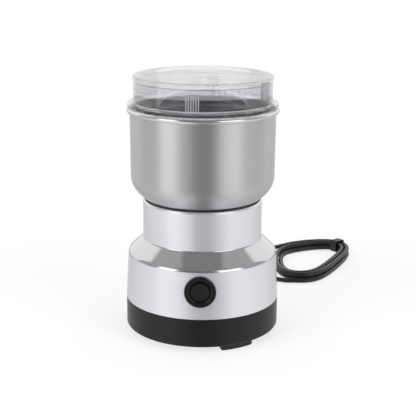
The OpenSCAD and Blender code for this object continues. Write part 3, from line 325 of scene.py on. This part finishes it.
def plastic(name, col, rough=0.35, grain=900, depth=0.00002, vary=0.12, coat=0.0, spec=0.5):
    """Moulded plastic: fine spark-eroded grain, slow colour drift and uneven gloss."""
    m, t, b = material(name)
    vec = coords(t)
    slow = noise(t, vec, 35, 2)
    fine = noise(t, vec, grain, 2, 0.6)
    link(t, ramp(t, slow, [(0.3, tint(col, 1 - vary)), (0.7, tint(col, 1 + vary))]), b.inputs["Base Color"])
    link(t, spread(t, slow, rough * 0.88, rough * 1.12), b.inputs["Roughness"])
    bump(t, b, fine, 0.5, depth)
    b.inputs["Specular IOR Level"].default_value = spec
    b.inputs["Coat Weight"].default_value = coat
    b.inputs["Coat Roughness"].default_value = 0.08
    return m


def metal(name, col, rough=0.25, line_scale=(60, 60, 1500), depth=0.000004, vary=0.04, blotch=25, turned=0.0):
    """Machined or drawn metal: fine lines along one direction and slow changes in polish."""
    m, t, b = material(name)
    lines = noise(t, coords(t, line_scale), 1.0, 4, 0.6)
    slow = noise(t, coords(t), blotch, 3)
    mix = node(t, "ShaderNodeMix", data_type="RGBA", blend_type="MULTIPLY")
    mix.inputs[0].default_value = 1.0
    link(t, ramp(t, slow, [(0.3, tint(col, 1 - vary)), (0.7, tint(col, 1 + vary))]), mix.inputs[6])
    link(t, ramp(t, lines, [(0.3, (0.93, 0.93, 0.93)), (0.7, (1, 1, 1))]), mix.inputs[7])
    link(t, mix.outputs[2], b.inputs["Base Color"])
    link(t, spread(t, lines, rough * 0.85, rough * 1.2), b.inputs["Roughness"])
    bump(t, b, lines, 0.4, depth)
    b.inputs["Metallic"].default_value = 1.0
    if turned:
        b.inputs["Anisotropic"].default_value = turned
        b.inputs["Anisotropic Rotation"].default_value = 0.25
        tangent = node(t, "ShaderNodeTangent", direction_type="RADIAL", axis="Z")
        link(t, tangent.outputs[0], b.inputs["Tangent"])
    return m


def rubber(name, col, rough=0.6):
    m, t, b = material(name)
    vec = coords(t)
    fine = noise(t, vec, 1400, 3, 0.7)
    slow = noise(t, vec, 60, 2)
    link(t, ramp(t, slow, [(0.3, tint(col, 0.85)), (0.7, tint(col, 1.2))]), b.inputs["Base Color"])
    link(t, spread(t, fine, rough * 0.85, rough * 1.1), b.inputs["Roughness"])
    bump(t, b, fine, 0.4, 0.00003)
    b.inputs["Specular IOR Level"].default_value = 0.4
    return m


def satin(name, col, rough, metallic):
    """Silver lacquer: a fine even flake in the colour and slow changes in gloss, smooth to the touch."""
    m, t, b = material(name)
    vec = coords(t)
    slow = noise(t, vec, 22, 2)
    flake = noise(t, vec, 2600, 1, 0.4)
    mix = node(t, "ShaderNodeMix", data_type="RGBA", blend_type="MULTIPLY")
    mix.inputs[0].default_value = 1.0
    link(t, ramp(t, slow, [(0.3, tint(col, 0.985)), (0.7, tint(col, 1.015))]), mix.inputs[6])
    link(t, ramp(t, flake, [(0.3, (0.965, 0.965, 0.965)), (0.7, (1, 1, 1))]), mix.inputs[7])
    link(t, mix.outputs[2], b.inputs["Base Color"])
    link(t, spread(t, slow, rough * 0.92, rough * 1.08), b.inputs["Roughness"])
    b.inputs["Metallic"].default_value = metallic
    return m


steel = metal("stainless_bowl", (0.66, 0.66, 0.68), 0.36, (30, 30, 3000), 0.0000008, 0.02, turned=0.9)
rim_steel = metal("stainless_rim", (0.76, 0.76, 0.775), 0.06, (30, 30, 1500), 0.0000003, 0.02)
inner_steel = metal("stainless_inside", (0.62, 0.62, 0.63), 0.14, (30, 30, 2200), 0.0000006, 0.03, turned=0.9)
silver = satin("silver_housing", (0.855, 0.85, 0.895), 0.22, 0.74)
polished = satin("polished_shoulder", (0.70, 0.70, 0.715), 0.05, 1.0)
base_black = plastic("base_black", (0.0095, 0.0095, 0.011), 0.28, 700, 0.00001, 0.1, spec=0.32)
gasket_black = rubber("gasket_black", (0.012, 0.012, 0.013), 0.45)
foot_rubber = rubber("foot_rubber", (0.016, 0.016, 0.016), 0.6)
bezel_black = plastic("bezel_black", (0.008, 0.008, 0.0095), 0.24, 500, 0.00001, 0.1, spec=0.25)
button_black = plastic("button_black", (0.009, 0.009, 0.010), 0.36, 800, 0.00002, 0.1, spec=0.3)
cord_black = plastic("cord_black", (0.014, 0.014, 0.015), 0.34, 300, 0.00003, 0.15)
tie_black = plastic("tie_black", (0.010, 0.010, 0.010), 0.42, 500, 0.00003, 0.15)
sleeve_black = rubber("sleeve_black", (0.016, 0.016, 0.017), 0.42)
screw_steel = metal("screw_steel", (0.62, 0.62, 0.64), 0.3, (700, 700, 700))
blade_steel = metal("blade_steel", (0.72, 0.72, 0.73), 0.16, (1500, 60, 60), 0.000003)
bright_steel = metal("bright_steel", (0.70, 0.70, 0.71), 0.18, (60, 60, 1800))
iron = metal("lamination_iron", (0.34, 0.34, 0.35), 0.38, (50, 50, 3000), 0.00001)
cast = metal("cast_bracket", (0.56, 0.56, 0.57), 0.5, (500, 500, 500), 0.00003, 0.08, 120)
copper = metal("enamelled_copper", (0.62, 0.26, 0.12), 0.3, (200, 200, 2600), 0.00003, 0.1, 90)
brass = metal("contact_brass", (0.72, 0.54, 0.26), 0.28, (400, 400, 400))
nickel = metal("nickel_pin", (0.74, 0.73, 0.70), 0.18, (60, 60, 900))
carbon = plastic("brush_carbon", (0.04, 0.04, 0.042), 0.6, 900, 0.00003)
switch_black = plastic("switch_black", (0.02, 0.02, 0.022), 0.45)
fan_white = plastic("fan_plastic", (0.72, 0.71, 0.67), 0.45, 500, 0.00002, 0.03)
bushing_black = plastic("bushing_black", (0.02, 0.02, 0.02), 0.4)
seal_rubber = rubber("seal_rubber", (0.015, 0.015, 0.015), 0.5)
wire_brown = plastic("wire_jacket", (0.20, 0.07, 0.04), 0.4, 400, 0.00002)


def clear_plastic(name, grey, clearness=1.0):
    """Clear polystyrene, slightly grey, with faint haze and moulding waviness; below 1 it turns milky. Darker
    greys serve as painted shade and the milky kind as painted highlight on parts of the lid.
    """
    m, t, b = material(name)
    vec = coords(t)
    slow = noise(t, vec, 28, 2)
    fine = noise(t, vec, 600, 2)
    dark, pale = ((grey + k, grey + k, grey + k + 0.03) for k in (-0.02, 0.02))
    link(t, ramp(t, slow, [(0.3, dark), (0.7, pale)]), b.inputs["Base Color"])
    link(t, spread(t, fine, 0.015, 0.05), b.inputs["Roughness"])
    bump(t, b, slow, 0.15, 0.0002)
    b.inputs["Transmission Weight"].default_value = clearness
    b.inputs["Alpha"].default_value = 0.5
    b.inputs["IOR"].default_value = 1.49
    return m


clear = clear_plastic("clear_lid", 0.85)
# painted shade: the lid's wall gets a darker grey than its top, though both are the same plastic
lid_wall_shade = clear_plastic("lid_wall_painted_shade", 0.68)
# painted highlight: the flange's outer edge is made whiter and milky
lid_edge_highlight = clear_plastic("lid_edge_painted_highlight", 0.92, 0.78)
# painted shade: the raised pad is real, and its darker grey is painted shade
lid_pad_shade = clear_plastic("lid_pad_painted_shade", 0.42)
# painted shade: a near-black ring of the clear plastic along the upper bead's step
lid_line_shade = clear_plastic("lid_line_painted_shade", 0.10)
# painted highlight: milky white for the flange fillet, the grip ribs and the skirt's end
lid_rib_highlight = clear_plastic("lid_rib_painted_highlight", 0.95, 0.40)

PAINT = {
    "base_cover": base_black, "feet": foot_rubber, "base_screws": screw_steel,
    "upper_housing": silver,
    "bowl_gasket": gasket_black, "bowl": steel, "bowl_bushing": bushing_black, "bushing_nut": screw_steel,
    "shaft_seal": seal_rubber, "lid": clear, "button_bezel": bezel_black, "button_cap": button_black,
    "button_spring": bright_steel, "switch_body": switch_black, "switch_nut": screw_steel,
    "switch_terminals": brass, "motor_dampers": seal_rubber, "motor_screws": screw_steel,
    "upper_bracket": cast,
    "upper_bearing": bright_steel, "stator_core": iron, "field_coils": copper, "lower_bracket": cast,
    "lower_bearing": bright_steel, "through_bolts": screw_steel, "brush_holders": brass,
    "carbon_brushes": carbon, "brush_springs": bright_steel, "brush_caps": brass, "shaft": bright_steel,
    "armature_core": iron, "armature_windings": copper, "commutator": copper, "cooling_fan": fan_white,
    "blade_spacer": bright_steel, "blade_lower": blade_steel, "blade_upper": blade_steel,
    "blade_washer": bright_steel, "blade_nut": bright_steel, "cord_clamp": fan_white,
    "clamp_screws": screw_steel, "lead_wires": wire_brown, "strain_relief": sleeve_black,
    "cord_tie": tie_black, "plug_body": sleeve_black, "plug_pins": nickel,
    "power_cord": cord_black, "cord_hank": cord_black, "plug_lead": cord_black,
}


def paint(ob, *materials):
    ob.data.materials.clear()
    for m in materials:
        ob.data.materials.append(m)


for name, ob in nodes.items():
    paint(ob, PAINT[name])
paint(cord, cord_black)

# Bowl: drawn sheet with a rolled bead, turned finely so that it mirrors cleanly

CORNER_R, UNDER_R, CORNER_TURN = 15, 34, 40
FLAT_LIFT = 1.2


def unit(deg):
    return np.array([math.cos(math.radians(deg)), math.sin(math.radians(deg))])


CORNER = np.array([BOWL_LOW_R - CORNER_R, BOWL_Z + 15.0])
UNDER = CORNER + (CORNER_R - UNDER_R) * unit(-CORNER_TURN)
UNDER_TURN = math.degrees(math.asin((UNDER[1] - BOWL_Z - FLAT_LIFT) / UNDER_R))
BEAD_C = (BOWL_R + 0.3, RIM_Z - BEAD_R)


def bowl_side(t):
    """The bowl's profile from its middle hole to the top of its corner, t inside the outer skin."""
    foot = UNDER + (UNDER_R - t) * unit(-UNDER_TURN)
    flat_end = (foot[0] - 2.2, BOWL_Z + t)
    low = [(CENTRE_HOLE_R, BOWL_Z + t), flat_end]
    low += bend(flat_end, foot, 0, 41, 6)[1:-1]
    low += arc(UNDER, UNDER_R - t, -UNDER_TURN, -CORNER_TURN, 14)
    low += arc(CORNER, CORNER_R - t, -CORNER_TURN, 0, 24)[1:]
    return low


inside = bowl_side(SHEET)
bead_in = math.degrees(math.acos((BOWL_R - SHEET - BEAD_C[0]) / BEAD_R))
bead_out = -math.degrees(math.acos((BOWL_R - BEAD_C[0]) / BEAD_R))
bead = arc(BEAD_C, BEAD_R, bead_out, bead_in, 26)
bowl = lathe("bowl_shell", bowl_side(0) + bead + inside[::-1], TURNED_SIDES, True, 40)
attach(bowl, "body")
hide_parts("bowl")
paint(bowl, steel, rim_steel, inner_steel)
for f in bowl.data.polygons:
    r = math.hypot(f.center.x, f.center.y) / MM
    if f.center.z / MM > RIM_Z - 2 * BEAD_R - 0.1 and r > BEAD_C[0] - 0.6:
        f.material_index = 1
    elif f.normal.x * f.center.x + f.normal.y * f.center.y < 0 or f.normal.z > 0.5:
        f.material_index = 2

# Button spring: the CAD coil, copied and carried with the button

spring = bpy.data.objects.new("spring_coil", nodes["button_spring"].data.copy())
scene.collection.objects.link(spring)
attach(spring, "button")
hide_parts("button_spring")
paint(spring, bright_steel)
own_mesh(spring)

# Base cover: the CAD shape with the crisper lower edge that the photograph shows

base = bpy.data.objects.new("base_shell", nodes["base_cover"].data.copy())
scene.collection.objects.link(base)
for v in base.data.vertices:
    z, r = v.co.z / MM, math.hypot(v.co.x, v.co.y) / MM
    if z < BASE_Z + 3.7 and r > BODY_R - 2.05:
        wide = BODY_R - 0.55 * max(0, 1 - (z - BASE_Z) / 0.8)
        v.co.x, v.co.y = v.co.x * wide / r, v.co.y * wide / r
base.data.update()
base.data.shade_smooth()
base.data.set_sharp_from_angle(angle=math.radians(25))
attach(base, "body")
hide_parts("base_cover")
paint(base, base_black)

# Housing: satin silver shell with its shoulder, neck and deck, and the hole for the button

outer = [(BODY_R, SPLIT_Z + 0.25), (BODY_R - 0.02, SPLIT_Z + 0.6)]
EDGE, CREASE = (SHOULDER_R - 0.1, SHOULDER_Z + 0.1), (NECK_R, NECK_Z - 0.45)
outer += fillet(outer[-1], EDGE, CREASE, 4.2, 16)
outer += bend(outer[-1], (NECK_R + 0.35, NECK_Z - 0.75), 136.7, 137.8, 12)[1:]
outer += bend(outer[-1], (NECK_R, NECK_Z + 0.1), 138, 90, 8)[1:]
outer += arc((NECK_R - 1.5, DECK_Z - 1.5), 1.5, 0, 90, 12)
inner = [(CENTRE_HOLE_R, DECK_Z), (CENTRE_HOLE_R, DECK_Z - WALL)]
inner += [(NECK_R - WALL, DECK_Z - WALL), (NECK_R - WALL, NECK_Z - 1.2)]
inner += [(SHOULDER_R - WALL - 0.2, SHOULDER_Z - 1.0)]
inner += [(BODY_R - WALL, SPLIT_Z), (BODY_R - 0.25, SPLIT_Z)]
housing = lathe("housing_shell", outer + inner, TURNED_SIDES, True, 40)
cutter_v, cutter_f = lathe_data([(0, 0), (BUTTON_HOLE_R, 0), (BUTTON_HOLE_R, 14), (0, 14)], 96, False)
cutter = finish_mesh("cutter", cutter_v, cutter_f)
facing = Matrix.Rotation(math.radians(-90), 4, "X")
cutter.matrix_world = Matrix.Translation((0, -0.058, BUTTON_Z * MM)) @ facing
mod = housing.modifiers.new("hole", "BOOLEAN")
mod.operation = "DIFFERENCE"
mod.solver = "EXACT"
mod.object = cutter
bpy.context.view_layer.update()
shaped = bpy.data.meshes.new_from_object(housing.evaluated_get(bpy.context.evaluated_depsgraph_get()))
housing.modifiers.clear()
housing.data = shaped
shaped.shade_smooth()
shaped.set_sharp_from_angle(angle=math.radians(40))
bpy.data.objects.remove(cutter)
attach(housing, "body")
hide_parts("upper_housing")
paint(housing, silver, polished)
for f in housing.data.polygons:
    z, r = f.center.z / MM, math.hypot(f.center.x, f.center.y) / MM
    if SHOULDER_Z - 1.5 < z < NECK_Z and r > NECK_R + 0.02:
        f.material_index = 1

# Lid: clear moulding with a flange, a thick upper bead, grip ribs and one raised pad, with painted shade and
# painted highlight set by place

BEAD_Z = LID_TOP - 3.6
IN_R = LID_R - LID_WALL
SKIRT_R = BOWL_R - SHEET - 0.5
FLANGE_TOP = LID_Z + 3
lid_profile = [(0, LID_TOP - 0.3), (12, LID_TOP - 0.3), (12.3, LID_TOP)]
lid_profile += arc((LID_R - 1.3, LID_TOP - 1.5), 1.5, 90, 0, 10)
lid_profile += [(LID_R + 0.2, BEAD_Z + 0.35), (LID_R - 0.05, BEAD_Z), (LID_R - 0.3, BEAD_Z)]
lid_profile += [(LID_R - 0.3, BEAD_Z - 0.6), (LID_R - 0.3, FLANGE_TOP + 3.5)]
lid_profile += arc((LID_R + 1.2, FLANGE_TOP + 1.2), 1.2, 180, 270, 8)
lid_profile += arc((FLANGE_R - 1, FLANGE_TOP - 1), 1, 90, 0, 8)
lid_profile += [(FLANGE_R, LID_Z), (SKIRT_R, LID_Z), (SKIRT_R - 0.3, RIM_Z - SKIRT_H + 0.6)]
lid_profile += arc((SKIRT_R - 0.9, RIM_Z - SKIRT_H + 0.6), 0.6, 0, -90, 5)[1:]
lid_profile += [(IN_R + 0.6, RIM_Z - SKIRT_H), (IN_R + 0.2, RIM_Z - SKIRT_H + 0.4), (IN_R, FLANGE_TOP)]
lid_profile += arc((IN_R - 1, LID_TOP - 3), 1, 0, 90, 6)
lid_profile += [(0, LID_TOP - 2)]
lid_v, lid_f = lathe_data(lid_profile, TURNED_SIDES, False)


def rib_data(angle, z0, z1, radius, out):
    """Half-round rib standing out of the lid's wall, with its foot inside the wall."""
    verts, faces = [], []
    sides = 10
    c, s = math.cos(angle), math.sin(angle)
    for z, k in ((z0, 1.0), (z1 - 0.5, 1.0), (z1, 0.35)):
        for i in range(sides):
            a = math.radians(-100 + 200 * i / (sides - 1))
            x, y = out + radius * k * math.cos(a), radius * math.sin(a)
            if i in (0, sides - 1):
                x = out - 0.35
            verts.append((x * c - y * s, x * s + y * c, z))
    for row in range(2):
        for i in range(sides):
            j = (i + 1) % sides
            faces.append([row * sides + i, row * sides + j, (row + 1) * sides + j, (row + 1) * sides + i])
    faces.append(list(range(sides))[::-1])
    faces.append([2 * sides + i for i in range(sides)])
    return verts, faces


def add(verts, faces, extra):
    base = len(verts)
    verts.extend(extra[0])
    faces.extend([[v + base for v in f] for f in extra[1]])


RIBS, RIB_STEP = 6, 1.6
for middle in (-97, 83):
    for i in range(RIBS):
        angle = math.radians(middle) + (i - (RIBS - 1) / 2) * RIB_STEP / LID_R
        add(lid_v, lid_f, rib_data(angle, FLANGE_TOP - 0.3, BEAD_Z - 3, 0.42, LID_R - 0.30))
pad_v, pad_f = [], []
steps = 12
for z, k in ((FLANGE_TOP - 0.3, 1), (LID_TOP - 2.2, 1), (LID_TOP - 1.8, 0)):
    for i in range(steps + 1):
        a = math.radians(-36 + 12 * i / steps)
        edge = min(1, 2.5 * min(i, steps - i) / steps + 0.2)
        pad_v.append(((LID_R + 0.6 * edge * k) * math.cos(a), (LID_R + 0.6 * edge * k) * math.sin(a), z))
    for i in range(steps + 1):
        a = math.radians(-24 - 12 * i / steps)
        pad_v.append(((LID_R - 0.5) * math.cos(a), (LID_R - 0.5) * math.sin(a), z))
row = 2 * (steps + 1)
for k in range(2):
    for i in range(row):
        j = (i + 1) % row
        pad_f.append([k * row + i, k * row + j, (k + 1) * row + j, (k + 1) * row + i])
pad_f.append(list(range(row))[::-1])
pad_f.append([2 * row + i for i in range(row)])
add(lid_v, lid_f, (pad_v, pad_f))
lid = finish_mesh("lid_shell", lid_v, lid_f, 38)
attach(lid, "lid")
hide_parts("lid")
paint(lid, clear, lid_wall_shade, lid_edge_highlight, lid_pad_shade, lid_rib_highlight, lid_line_shade)
CLEAR, SHADED_WALL_FACE, HIGHLIGHT_EDGE_FACE, SHADED_PAD_FACE, HIGHLIGHT_RIB_FACE, SHADE_LINE_FACE = range(6)


def lid_face(f):
    """The lid material that a face gets, from its place: painted shade on the wall, the pad and the bead
    line, painted highlight on the flange edge, fillet, ribs and skirt end.
    """
    z, r = f.center.z / MM, math.hypot(f.center.x, f.center.y) / MM
    turned = math.degrees(math.atan2(f.center.y, f.center.x))
    # painted shade: the raised pad gets a darker grey than the rest of the lid
    if FLANGE_TOP + 1.3 < z < LID_TOP - 1.7 and r > LID_R - 0.2 and -37 < turned < -23:
        return SHADED_PAD_FACE
    # painted shade: a dark line along the upper bead's step
    if BEAD_Z - 0.61 < z < BEAD_Z + 0.36 and r > LID_R - 0.4:
        return SHADE_LINE_FACE
    # painted highlight: a whiter, milky band round the flange's top edge
    if z > FLANGE_TOP - 0.85 and r > FLANGE_R - 1.02:
        return HIGHLIGHT_EDGE_FACE
    # painted highlight: the fillet, ribs and skirt end are real shapes, and their milky white is painted
    # highlight
    on_fillet = FLANGE_TOP + 0.02 < z < FLANGE_TOP + 0.7 and LID_R - 0.25 < r < LID_R + 1.3
    on_rib = LID_R - 0.25 < r < LID_R + 1 and FLANGE_TOP + 1.2 < z < BEAD_Z - 0.2 and abs(f.normal.z) < 0.05
    on_skirt_end = z < RIM_Z - SKIRT_H + 0.58 and r > SKIRT_R - 0.85
    if on_fillet or on_rib or on_skirt_end:
        return HIGHLIGHT_RIB_FACE
    # painted shade: the wall is a darker grey than the top
    return SHADED_WALL_FACE if FLANGE_TOP < z < BEAD_Z and r > IN_R - 0.2 else CLEAR


for f in lid.data.polygons:
    f.material_index = lid_face(f)

# Floor: a pale oval that keeps the object's shadow and fades to the white background at its edge

FLOOR_MID, FLOOR_SIZE = (0.02, 0.09), (0.27, 0.22)


def floor_material():
    m, t, b = material("floor_white")
    slow = noise(t, coords(t), 3, 2)
    link(t, ramp(t, slow, [(0.3, (0.90, 0.90, 0.90)), (0.7, (0.93, 0.93, 0.93))]), b.inputs["Base Color"])
    b.inputs["Roughness"].default_value = 0.9
    place = node(t, "ShaderNodeMapping")
    place.vector_type = "POINT"
    place.inputs["Scale"].default_value = (1 / FLOOR_SIZE[0], 1 / FLOOR_SIZE[1], 0)
    place.inputs["Location"].default_value = (-FLOOR_MID[0] / FLOOR_SIZE[0], -FLOOR_MID[1] / FLOOR_SIZE[1], 0)
    link(t, node(t, "ShaderNodeTexCoord").outputs["Object"], place.inputs["Vector"])
    far = node(t, "ShaderNodeVectorMath", operation="LENGTH")
    link(t, place.outputs["Vector"], far.inputs[0])
    fade = node(t, "ShaderNodeMapRange", interpolation_type="SMOOTHSTEP")
    for key, v in (("From Min", 0.45), ("From Max", 0.99), ("To Min", 0.70), ("To Max", 1.0)):
        fade.inputs[key].default_value = v
    link(t, far.outputs["Value"], fade.inputs["Value"])
    part = node(t, "ShaderNodeMath", operation="MULTIPLY")
    link(t, white_rays(t), part.inputs[0])
    link(t, fade.outputs["Result"], part.inputs[1])
    glow = node(t, "ShaderNodeEmission")
    glow.inputs["Strength"].default_value = 1.0
    mix = node(t, "ShaderNodeMixShader")
    link(t, part.outputs[0], mix.inputs[0])
    link(t, b.outputs[0], mix.inputs[1])
    link(t, glow.outputs[0], mix.inputs[2])
    link(t, mix.outputs[0], t.nodes["Material Output"].inputs["Surface"])
    return m


def white_rays(t, glossy=True):
    """1 for the rays that see the white background: the camera's, through glass and off metal."""
    path = node(t, "ShaderNodeLightPath")
    through = path.outputs["Is Transmission Ray"]
    if not glossy:
        once = node(t, "ShaderNodeMath", operation="LESS_THAN")
        once.inputs[1].default_value = 0.5
        link(t, path.outputs["Glossy Depth"], once.inputs[0])
        both = node(t, "ShaderNodeMath", operation="MULTIPLY")
        link(t, through, both.inputs[0])
        link(t, once.outputs[0], both.inputs[1])
        through = both.outputs[0]
    out = path.outputs["Is Camera Ray"]
    for extra in (through, path.outputs["Is Glossy Ray"])[:2 if glossy else 1]:
        both = node(t, "ShaderNodeMath", operation="MAXIMUM")
        link(t, out, both.inputs[0])
        link(t, extra, both.inputs[1])
        out = both.outputs[0]
    return out


me = bpy.data.meshes.new("floor")
ROUND, FLOOR_Z = 96, -0.0002
turns = [2 * math.pi * i / ROUND for i in range(ROUND)]
ring_pts = [(FLOOR_MID[0] + FLOOR_SIZE[0] * k * math.cos(a),
             FLOOR_MID[1] + FLOOR_SIZE[1] * k * math.sin(a), FLOOR_Z) for k in (0.5, 1.0) for a in turns]
rim_faces = [[i, (i + 1) % ROUND, ROUND + (i + 1) % ROUND, ROUND + i][::-1] for i in range(ROUND)]
me.from_pydata(ring_pts, [], [list(range(ROUND))] + rim_faces)
floor = bpy.data.objects.new("floor", me)
scene.collection.objects.link(floor)
paint(floor, floor_material())
floor.visible_glossy = False

# World: white to the camera, through the lid and where metal mirrors what lies behind the object,
# and a soft grey studio in the other directions

world = bpy.data.worlds.new("studio")
scene.world = world
world.use_nodes = True
wt = world.node_tree
for n in list(wt.nodes):
    wt.nodes.remove(n)
tc = node(wt, "ShaderNodeTexCoord")
sep = node(wt, "ShaderNodeSeparateXYZ")
link(wt, tc.outputs["Generated"], sep.inputs[0])
neg = node(wt, "ShaderNodeMath", operation="MULTIPLY")
neg.inputs[1].default_value = -1.0
link(wt, sep.outputs["Y"], neg.inputs[0])
az = node(wt, "ShaderNodeMath", operation="ARCTAN2")
link(wt, sep.outputs["X"], az.inputs[0])
link(wt, neg.outputs[0], az.inputs[1])
azf = node(wt, "ShaderNodeMapRange")
for key, v in (("From Min", -math.pi), ("From Max", math.pi), ("To Min", 0.0), ("To Max", 1.0)):
    azf.inputs[key].default_value = v
link(wt, az.outputs[0], azf.inputs["Value"])


def g(v):
    return (v, v, v)


def at(deg):
    return (deg + 180) / 360


def around(stops):
    """Grey levels by compass angle, 0 to the front and + to the right; the ends meet at the back."""
    return ramp(wt, azf.outputs["Result"], [(at(a), g(v)) for a, v in stops])


def layer(below, above, z0, z1):
    """Blend two grey maps between two heights, given as the sine of the elevation."""
    m = node(wt, "ShaderNodeMapRange", interpolation_type="SMOOTHSTEP")
    for key, v in (("From Min", z0), ("From Max", z1), ("To Min", 0.0), ("To Max", 1.0)):
        m.inputs[key].default_value = v
    link(wt, sep.outputs["Z"], m.inputs["Value"])
    both = node(wt, "ShaderNodeMix", data_type="RGBA")
    link(wt, m.outputs["Result"], both.inputs[0])
    link(wt, below, both.inputs[6])
    link(wt, above, both.inputs[7])
    return both.outputs[2]


ground = around([(-180, 0.80), (-146, 0.57), (-108, 0.71), (-78, 0.80), (-64, 0.97), (-48, 0.96),
                 (-36, 0.88), (-24, 0.74), (-10, 0.40), (10, 0.33), (24, 0.47), (36, 0.62), (48, 0.80),
                 (60, 0.86), (78, 0.84), (108, 0.75), (146, 0.57), (180, 0.80)])
boxes = around([(-180, 1.0), (-118, 1.0), (-109, 0.45), (-74, 0.42), (-64, 1.6), (-43, 1.6), (-34, 0.36),
                (-24, 0.20), (15, 0.20), (23, 0.4), (30, 1.5), (60, 1.5), (70, 0.42), (109, 0.45),
                (118, 1.0), (180, 1.0)])
high = around([(-180, 1.0), (-115, 1.0), (-107, 0.47), (-60, 0.46), (-50, 0.27), (50, 0.27), (60, 0.46),
               (111, 0.47), (119, 1.0), (180, 1.0)])
upper = around([(-180, 0.22), (-140, 0.22), (-125, 0.46), (-60, 0.46), (-50, 0.27), (50, 0.27), (60, 0.46),
                (125, 0.46), (132, 0.16), (180, 0.22)])
top = around([(-180, 0.27), (180, 0.27)])
sky = layer(layer(ground, boxes, -0.10, 0.04), high, 0.50, 0.64)
sky = layer(layer(sky, upper, 0.72, 0.80), top, 0.905, 0.94)
studio = node(wt, "ShaderNodeBackground")
link(wt, sky, studio.inputs["Color"])
studio.inputs["Strength"].default_value = 1.0
white = node(wt, "ShaderNodeBackground")
white.inputs["Color"].default_value = (1, 1, 1, 1)
white.inputs["Strength"].default_value = 1.0
none = around([(-180, 0.0), (180, 0.0)])
back = around([(-180, 1.0), (-115, 1.0), (-107, 0.0), (111, 0.0), (119, 1.0), (180, 1.0)])
mirrored = node(wt, "ShaderNodeMath", operation="MULTIPLY")
link(wt, node(wt, "ShaderNodeLightPath").outputs["Is Glossy Ray"], mirrored.inputs[0])
link(wt, layer(layer(none, back, 0.0, 0.05), none, 0.66, 0.74), mirrored.inputs[1])
seen = node(wt, "ShaderNodeMath", operation="MAXIMUM")
link(wt, white_rays(wt, False), seen.inputs[0])
link(wt, mirrored.outputs[0], seen.inputs[1])
mix = node(wt, "ShaderNodeMixShader")
link(wt, seen.outputs[0], mix.inputs[0])
link(wt, studio.outputs[0], mix.inputs[1])
link(wt, white.outputs[0], mix.inputs[2])
wout = node(wt, "ShaderNodeOutputWorld")
link(wt, mix.outputs[0], wout.inputs["Surface"])


def area(name, loc, target, size, power, glossy=True):
    d = bpy.data.lights.new(name, "AREA")
    d.shape = "RECTANGLE"
    d.size, d.size_y = size
    d.energy = power
    ob = bpy.data.objects.new(name, d)
    scene.collection.objects.link(ob)
    ob.location = loc
    ob.rotation_euler = (Vector(target) - Vector(loc)).to_track_quat("-Z", "Y").to_euler()
    ob.visible_glossy = glossy
    return ob


area("key_left", (-1.1, -0.9, 1.1), (0, 0, 0.09), (0.8, 0.8), 9, False)
area("key_right", (1.1, -0.9, 1.0), (0, 0, 0.09), (0.8, 0.8), 8, False)
area("top", (0, 0.2, 1.5), (0, 0, 0.05), (1.2, 1.2), 8, False)
